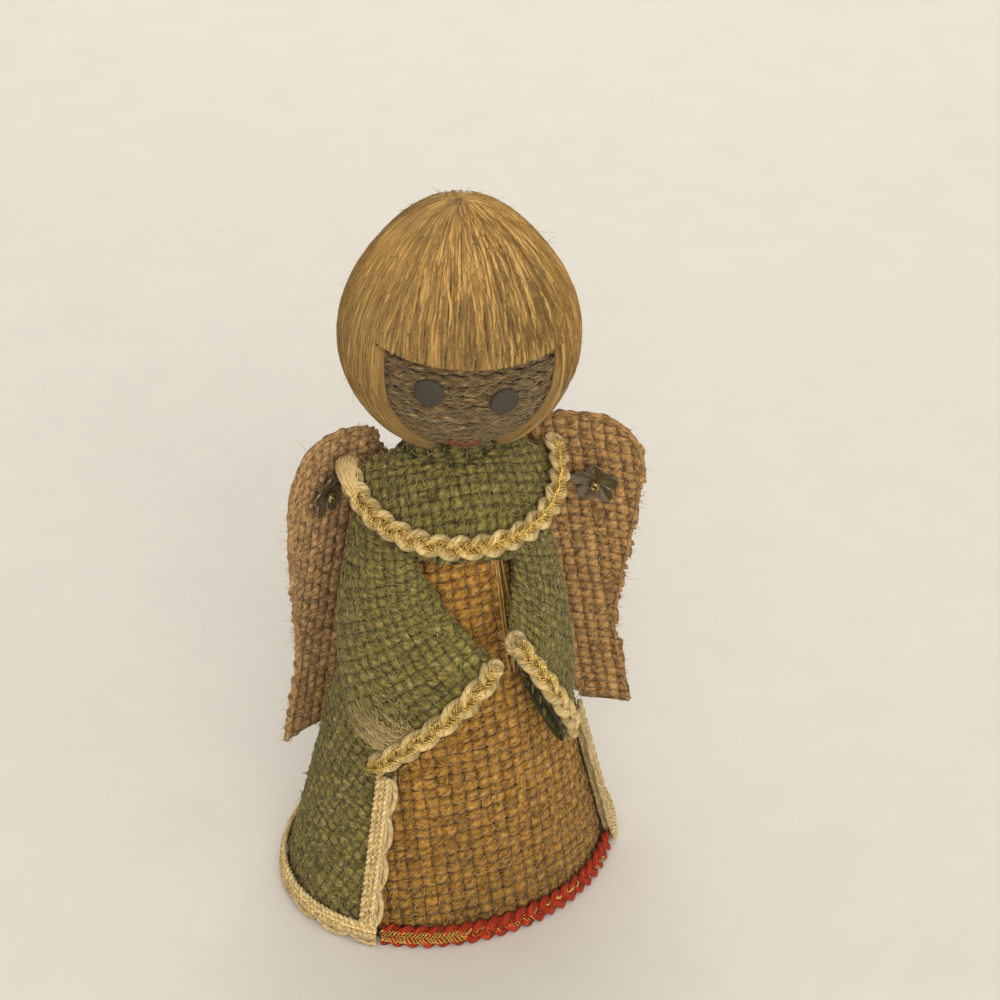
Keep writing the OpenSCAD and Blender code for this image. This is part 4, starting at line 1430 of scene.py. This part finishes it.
class ANGEL_OT_flowers(bpy.types.Operator):
    """Model the sequin flowers and their beads"""

    bl_idname = "angel.flowers"
    bl_label = "Flowers"

    def execute(self, context):
        base = tuple(context.scene.angel_colours.sequin)
        dark, amber = scaled(base, 0.4, shade(52, 40, 44)), scaled(base, 0.6, shade(206, 170, 84))
        sequin = grain_material("sequin foil", base, dark, scale=900.0, roughness=0.36, relief=0.15, coat=0.5)
        bead = grain_material("bead glass", amber, scaled(base, 0.3), scale=700.0, roughness=0.14,
                              relief=0.05, metallic=0.6, coat=1.0)
        for name in SIDE_NAMES.values():
            node = f"wing_flower_{name}"
            stand = placed(*plate_frame(node))
            carried(self.petals(f"{node}_petals", stand, sequin), f"wing_{name}", "flower_sequin", node)
            node = f"flower_bead_{name}"
            low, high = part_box(node)
            stand = stand.copy()
            stand.translation = (low + high) / 2
            carried(self.bead(f"{node}_glass", stand, bead), f"wing_{name}", "flower_bead", node)
        return {"FINISHED"}

    def petals(self, name, stand, material):
        """Five cupped petals in one sheet."""
        petals, rings, radius = 5, 7, 5.7 * MM
        rim, crease = 1.5 * MM, 0.5 * MM
        piece = primitive(name, bpy.ops.mesh.primitive_circle_add, vertices=16 * petals, radius=1.0,
                          fill_type="TRIFAN")
        edit(bpy.ops.mesh.subdivide, number_cuts=rings)
        for vertex in piece.data.vertices:
            reach = vertex.co.to_2d().length
            turn = math.atan2(vertex.co.y, vertex.co.x)
            lobe = abs(math.cos(petals / 2 * (turn - math.pi / 2)))
            edge = 0.5 + 0.5 * lobe ** 0.55
            cup = rim * reach ** 2 * (0.45 + 0.55 * lobe) - crease * reach * lobe ** 8
            vertex.co = (radius * edge * vertex.co.x, radius * edge * vertex.co.y, cup)
        solid = piece.modifiers.new("Thickness", "SOLIDIFY")
        solid.thickness = 0.3 * MM
        solid.offset = 1.0
        bpy.ops.object.modifier_apply(modifier=solid.name)
        piece.data.transform(stand)
        piece.data.materials.append(material)
        bpy.ops.object.shade_smooth_by_angle(angle=math.radians(40))
        return piece

    def bead(self, name, stand, material):
        """A seed bead with its hole facing out."""
        piece = primitive(name, bpy.ops.mesh.primitive_torus_add, major_radius=0.8 * MM,
                          minor_radius=0.5 * MM, major_segments=28, minor_segments=14)
        edit(bpy.ops.transform.resize, value=(1.0, 1.0, 1.6))
        piece.data.transform(stand)
        piece.data.materials.append(material)
        bpy.ops.object.shade_smooth()
        return piece


# Loose fibres

def thin_strand(path, sideways, radius, tone):
    """A thin strand along a path, with three sides, that tapers to its end."""
    taper = radius * np.linspace(1.0, 0.4, len(path))[:, None]
    ahead = unit(np.gradient(path, axis=0))
    side = unit(np.cross(ahead, sideways))
    up = np.cross(side, ahead)
    cosine, sine = ring(3)
    points = path[:, None] + (taper * cosine)[..., None] * side[:, None]
    points = points + (taper * sine)[..., None] * up[:, None]
    return strand(points, np.ones(len(path)), tone)


def fibre(rng, root, facing, size, spread, thick=1.0):
    """A thin curved fibre that stands out from a root."""
    radius = thick * bpy.context.scene.angel_hair.fibre_d / 2
    curl = 0.35
    share = np.linspace(0, 1, 6)[:, None]
    bend = rng.normal(size=3)
    lean = unit(facing + spread * rng.normal(size=3))
    path = root + size * (share * lean + curl * share ** 2 * bend)
    return thin_strand(path, unit(bend), radius, rng.random())


def tuft(rng, roots, facing, count, size, spread, thick=1.0):
    """Frayed ends that stand out round some roots."""
    return [fibre(rng, roots[rng.integers(len(roots))], facing, size * (0.5 + rng.random()), spread, thick)
            for _ in range(count)]


def fan(rng, points, normals, rise, count):
    """Fibres of a braid's first end, which spread and turn over into a round knob."""
    knob, fibre_r, start, narrow, wide = 2.4, 0.24 * MM, (4.5, 8.5), 1.2, 2.9
    run = run_along(points)
    beyond = unit(unit(points[0] - points[4]) + rise * np.array([0.0, 0.0, 1.0]))
    share = np.linspace(0, 1, 8)
    made = []
    for _ in range(count):
        spot = rng.uniform(-1, 1)
        tip = -knob * math.sqrt(1 - 0.85 * spot ** 2) * rng.uniform(0.7, 1.0)
        s = mix(rng.uniform(*start), tip, share) * MM
        base = follow(s, run, points) + np.maximum(-s, 0)[:, None] * beyond
        up = unit(follow(s, run, normals))
        across = unit(np.cross(up, np.gradient(base, axis=0)))
        spread = spot * mix(narrow, wide, share ** 0.7) * MM + 0.25 * MM * wander(rng, share, 1.0)
        proud = 1.3 * np.sin(np.pi * share ** 1.6) * (1 - 0.6 * spot ** 2) - 0.8 * share ** 5
        lift = (0.75 + proud + 0.35 * rng.random()) * MM
        path = base + spread[:, None] * across + lift[:, None] * up
        made.append(thin_strand(path, up[0], fibre_r, 0.6 + 0.6 * rng.random()))
    return made


def many(count, make, *given):
    """A number of strands, made one at a time, without those that came to nothing."""
    made = (make(*given) for _ in range(count))
    return [one for one in made if one]


def head_way(longitude, latitude, radius, east, north):
    """Direction over the head from a point, by a few degrees to the east and north."""
    here = head_point(longitude, latitude, radius)
    return unit(head_point(longitude + east, latitude + north, radius) - here)


class ANGEL_OT_fuzz(bpy.types.Operator):
    """Model the loose fibres and tufts"""

    bl_idname = "angel.fuzz"
    bl_label = "Loose Fibres"

    def execute(self, context):
        rng = np.random.default_rng(71)
        hair = many(1000, self.hair_end, rng) + many(2600, self.combed_fibre, rng)
        carried(strands_object("hair_fibres", hair, hair_jute()), FIGURE, "jute_hair")
        face = many(260, self.face_end, rng) + many(70, self.lip_fibre, rng)
        face += many(900, self.twine_fibre, rng)
        carried(strands_object("face_fibres", face, loose_fibre("face")), FIGURE, "face_twine")
        carried(strands_object("braid_tufts", self.frayed_ends(rng), cotton("edging")), FIGURE, "cream_braid")
        for side, count in ((LEFT, 90), (RIGHT, 260)):
            body = f"wing_{SIDE_NAMES[side]}"
            fray = many(count, self.wing_end, rng, side)
            carried(strands_object(f"{body}_fray", fray, loose_fibre(body)), body, "wing_burlap")
        threads = [self.stray_thread(rng, *ends) for ends in ((8, 62, 97), (11, 62, 96), (16, 76, 97))]
        carried(strands_object("gown_threads", threads, loose_fibre("gown")), FIGURE, "gown_burlap")
        return {"FINISHED"}

    def hair_end(self, rng):
        """A short end that stands out of the hair, or none where the face is."""
        above_face, sunk = 22, 0.25 * MM
        longitude, latitude = 360 * rng.random(), -50 + 140 * rng.random()
        if min(longitude, 360 - longitude) < FACE_HALF and latitude < above_face:
            return None
        root = head_point(longitude, latitude, hair_radius(latitude) - sunk)
        down = head_way(longitude, latitude, HAIR_OUT_R, 0, -2)
        lean = unit(down + (0.08 + 0.3 * rng.random() ** 3) * unit(root - HEAD))
        return fibre(rng, root, lean, (0.9 + 1.5 * rng.random()) * MM, 0.15, 0.8)

    def combed_fibre(self, rng):
        """A fine fibre that lies along the hair."""
        cheek = -18.0
        share = np.linspace(0, 1, 6)
        longitude = rng.uniform(-180, 180)
        lowest = fringe_edge(longitude) if abs(longitude) < FACE_HALF else cheek
        top = math.degrees(math.asin(rng.uniform(math.sin(math.radians(lowest + 5)), 0.998)))
        latitude = top - min(rng.uniform(6, 22), top - lowest) * share
        aside = 2.0 * rng.normal() * share + 0.8 * wander(rng, share, 0.9)
        radius = hair_radius(latitude) + (0.02 + 0.14 * rng.random()) * MM
        path = head_point(longitude + aside / np.cos(np.radians(latitude)), latitude, radius)
        thick = mix(0.05, 0.11, rng.random()) * MM
        return thin_strand(path, unit(path[0] - HEAD), thick, rng.random())

    def face_end(self, rng):
        """A short end that stands out of the twine."""
        longitude, latitude = FACE_HALF * (2 * rng.random() - 1), -58 + 60 * rng.random()
        root = head_point(longitude, latitude, WIND_R + 0.4 * TWINE_D)
        return fibre(rng, root, unit(root - HEAD), (0.8 + 1.2 * rng.random()) * MM, 1.2)

    def lip_fibre(self, rng):
        """A fibre of the twine that lies over the mouth."""
        middle, reach, felt = (-4, -43), (11, 9), 1.0 * MM
        longitude, latitude = (m + r * (2 * rng.random() - 1) for m, r in zip(middle, reach))
        root = head_point(longitude, latitude, WIND_R + TWINE_D / 2 + felt)
        ahead = head_way(longitude, latitude, WIND_R, 2, 0)
        return fibre(rng, root, ahead, (1.4 + 1.6 * rng.random()) * MM, 0.25, 0.8)

    def twine_fibre(self, rng):
        """A fibre that lies along a turn of the face."""
        share = np.linspace(0, 1, 5)
        longitude, latitude = FACE_HALF * (2 * rng.random() - 1), -56 + 64 * rng.random()
        size = (1.0 + 1.8 * rng.random()) * MM
        turn = math.degrees(size / WIND_R) / math.cos(math.radians(latitude))
        slant = 2.0 * rng.normal()
        radius = WIND_R + (0.4 + 0.16 * rng.random()) * TWINE_D + 0.2 * MM * np.sin(np.pi * share)
        path = head_point(longitude + turn * share, latitude + slant * share, radius)
        thick = mix(0.06, 0.12, rng.random()) * MM
        return thin_strand(path, unit(path[0] - HEAD), thick, rng.random())

    def frayed_ends(self, rng):
        """Tufts at the ends of the collar's and the cuffs' braids."""
        points, normals = collar_path()
        made = fan(rng, points, normals, 1.2, 190)
        made += tuft(rng, points[:5], unit(points[0] - points[4] + [0.0, 0.0, 2.0 * MM]), 50, 1.8 * MM, 0.8)
        made += many(120, self.cuff_fibre, rng)
        points, normals = cuff_path(LEFT)
        made += tuft(rng, points[-9:], unit(normals[-1] + [-1.4, 0.0, 0.1]), 150, 2.8 * MM, 0.55, 1.5)
        return made

    def cuff_fibre(self, rng):
        """A soft fibre that lies up the right sleeve from the lower end of its braid."""
        radius = 0.055 * MM
        share = np.linspace(0, 1, 7)
        along = 0.96 - 0.07 * rng.random() - (0.04 + 0.14 * rng.random()) * share
        around = 46 + 32 * rng.random() + 7 * rng.normal() * share + 3 * wander(rng, share, 0.9)
        rise = (0.8 + 1.2 * rng.random() * np.sin(np.pi * share) + 1.0 * rng.random() * share) * MM
        path = sleeve_point(RIGHT, along, around, -rise)
        # Tones above one are painted light, keeping these dense fibres pale against the shade they cast on
        # each other.
        return thin_strand(path, unit(rng.normal(size=3)), radius, 1.4 + 0.8 * rng.random())

    def wing_end(self, rng, side):
        """A short end on the edge of a wing."""
        on_outer_edge, inner_from = 0.7, ROOT_HIGH + 4 * MM
        z = mix(WING_LOW, WING_TOP, rng.random())
        inner, outer = (float(edge) for edge in wing_edges(np.array(z)))
        u, out = (outer, 1.0) if rng.random() < on_outer_edge or z < inner_from else (inner, -1.0)
        root, further = wing_point(side, u, z, 0.0), wing_point(side, u + out * MM, z, 0.0)
        rising = 0.6 * MM * max(0.0, (z - ROOT_HIGH) / (WING_TOP - ROOT_HIGH))
        facing = unit(further - root + [0.0, 0.0, rising])
        return fibre(rng, root, facing, (0.8 + 1.8 * rng.random()) * MM, 0.5)

    def stray_thread(self, rng, angle, low, high):
        """A long pulled thread on the gown between the sleeves, between two heights in millimetres."""
        width, tone = 0.55 * MM, 0.9
        z = np.linspace(high * MM, low * MM, 40)
        angles = FRONT + angle + 1.2 * wander(rng, z, 60 * MM)
        band = Band(skirt_point(angles, z, GOWN_OUT + 0.35 * MM), skirt_normal(angles, z))
        return band.cord(0.0, 0.0, width, width, 5, tone)


# Inner pieces and stage

class ANGEL_OT_inner(bpy.types.Operator):
    """Finish the card cone and the foam ball of the frame"""

    bl_idname = "angel.inner"
    bl_label = "Inner Pieces"

    def execute(self, context):
        colours = context.scene.angel_colours
        card = grain_material("brown card", tuple(colours.card), scaled(colours.card, 0.7), scale=260.0,
                              roughness=0.85, relief=0.15, stretch=(1.0, 1.0, 6.0))
        foam = grain_material("soaked foam", tuple(colours.foam), scaled(colours.foam, 0.6), scale=700.0,
                              roughness=0.8, relief=0.6)
        recoat("card_cone", card)
        recoat("head_ball", foam)
        return {"FINISHED"}


class ANGEL_OT_stage(bpy.types.Operator):
    """Set the floor, the lamps and the camera"""

    bl_idname = "angel.stage"
    bl_label = "Stage"

    def execute(self, context):
        scene = context.scene
        self.floor(scene)
        self.light("AREA", "Key", (-0.55, -1.25, 1.25), 4.6).size = 1.0
        self.light("AREA", "Fill", (0.9, -1.3, 1.0), 5.4).size = 1.4
        self.light("SUN", "Front", (-0.05, -1.5, 0.75), 1.55).angle = math.radians(40)
        self.light("AREA", "Back", (0.3, 1.2, 1.3), 9.5).size = 1.0
        world = scene.world or bpy.data.worlds.new("World")
        scene.world = world
        world.use_nodes = True
        sky = world.node_tree.nodes["Background"]
        feed(world.node_tree, sky, {"Color": (1.0, 0.97, 0.93, 1.0), "Strength": 0.5})
        self.camera(scene)
        scene.view_settings.view_transform = "Standard"
        return {"FINISHED"}

    def floor(self, scene):
        """A plain, flat floor."""
        piece = primitive("floor", bpy.ops.mesh.primitive_plane_add, size=6.0)
        base = tuple(scene.angel_colours.floor)
        paper = grain_material("floor paper", base, scaled(base, 0.97), scale=40.0, roughness=0.85,
                               relief=0.02)
        piece.data.materials.append(paper)

    def light(self, kind, name, place, power):
        """A light that faces the figure: a square lamp or an even sun."""
        bpy.ops.object.light_add(type=kind, location=place)
        lamp = bpy.context.object
        lamp.name = name
        lamp.data.energy = power
        lamp.data.color = (1.0, 0.96, 0.9)
        waist = Vector((0.0, 0.0, 0.09))
        lamp.rotation_euler = (waist - Vector(place)).to_track_quat("-Z", "Y").to_euler()
        return lamp.data

    def camera(self, scene):
        """The camera at the photograph's viewing angle."""
        place = Vector((-0.0876, -0.4120, 0.3494))
        target = Vector((0.01105, -0.00235, 0.0980))
        roll = math.radians(0.61)
        bpy.ops.object.camera_add(location=place)
        camera = bpy.context.object
        camera.data.sensor_width = 36.0
        camera.data.lens = 79.8
        aim = (target - place).to_track_quat("-Z", "Y").to_matrix()
        camera.rotation_euler = (aim @ Matrix.Rotation(roll, 3, "Z")).to_euler()
        scene.camera = camera


OPERATORS = (
    ANGEL_OT_stage, ANGEL_OT_inner, ANGEL_OT_gown, ANGEL_OT_coat, ANGEL_OT_sleeves, ANGEL_OT_collar,
    ANGEL_OT_wings, ANGEL_OT_braids, ANGEL_OT_hair, ANGEL_OT_face, ANGEL_OT_flowers, ANGEL_OT_fuzz,
)


class ANGEL_PT_panel(bpy.types.Panel):
    """Sizes, colours and pieces of the angel"""

    bl_idname = "ANGEL_PT_panel"
    bl_label = "Jute Angel"
    bl_space_type = "VIEW_3D"
    bl_region_type = "UI"
    bl_category = "Angel"

    def draw(self, context):
        for title, kind in PROPERTY_GROUPS.items():
            column = self.layout.column()
            for field in kind.__annotations__:
                column.prop(getattr(context.scene, title), field)
        for operator in OPERATORS:
            self.layout.operator(operator.bl_idname)


def register():
    """Registers the properties, the operators and the panel."""
    for title, kind in PROPERTY_GROUPS.items():
        bpy.utils.register_class(kind)
        setattr(bpy.types.Scene, title, bpy.props.PointerProperty(type=kind))
    for kind in (*OPERATORS, ANGEL_PT_panel):
        bpy.utils.register_class(kind)


def unregister():
    """Removes them again."""
    for kind in (ANGEL_PT_panel, *reversed(OPERATORS)):
        bpy.utils.unregister_class(kind)
    for title, kind in PROPERTY_GROUPS.items():
        delattr(bpy.types.Scene, title)
        bpy.utils.unregister_class(kind)


def main():
    """Makes every piece."""
    register()
    for operator in OPERATORS:
        getattr(bpy.ops.angel, operator.bl_idname.split(".")[1])()


if __name__ == "__main__":
    main()
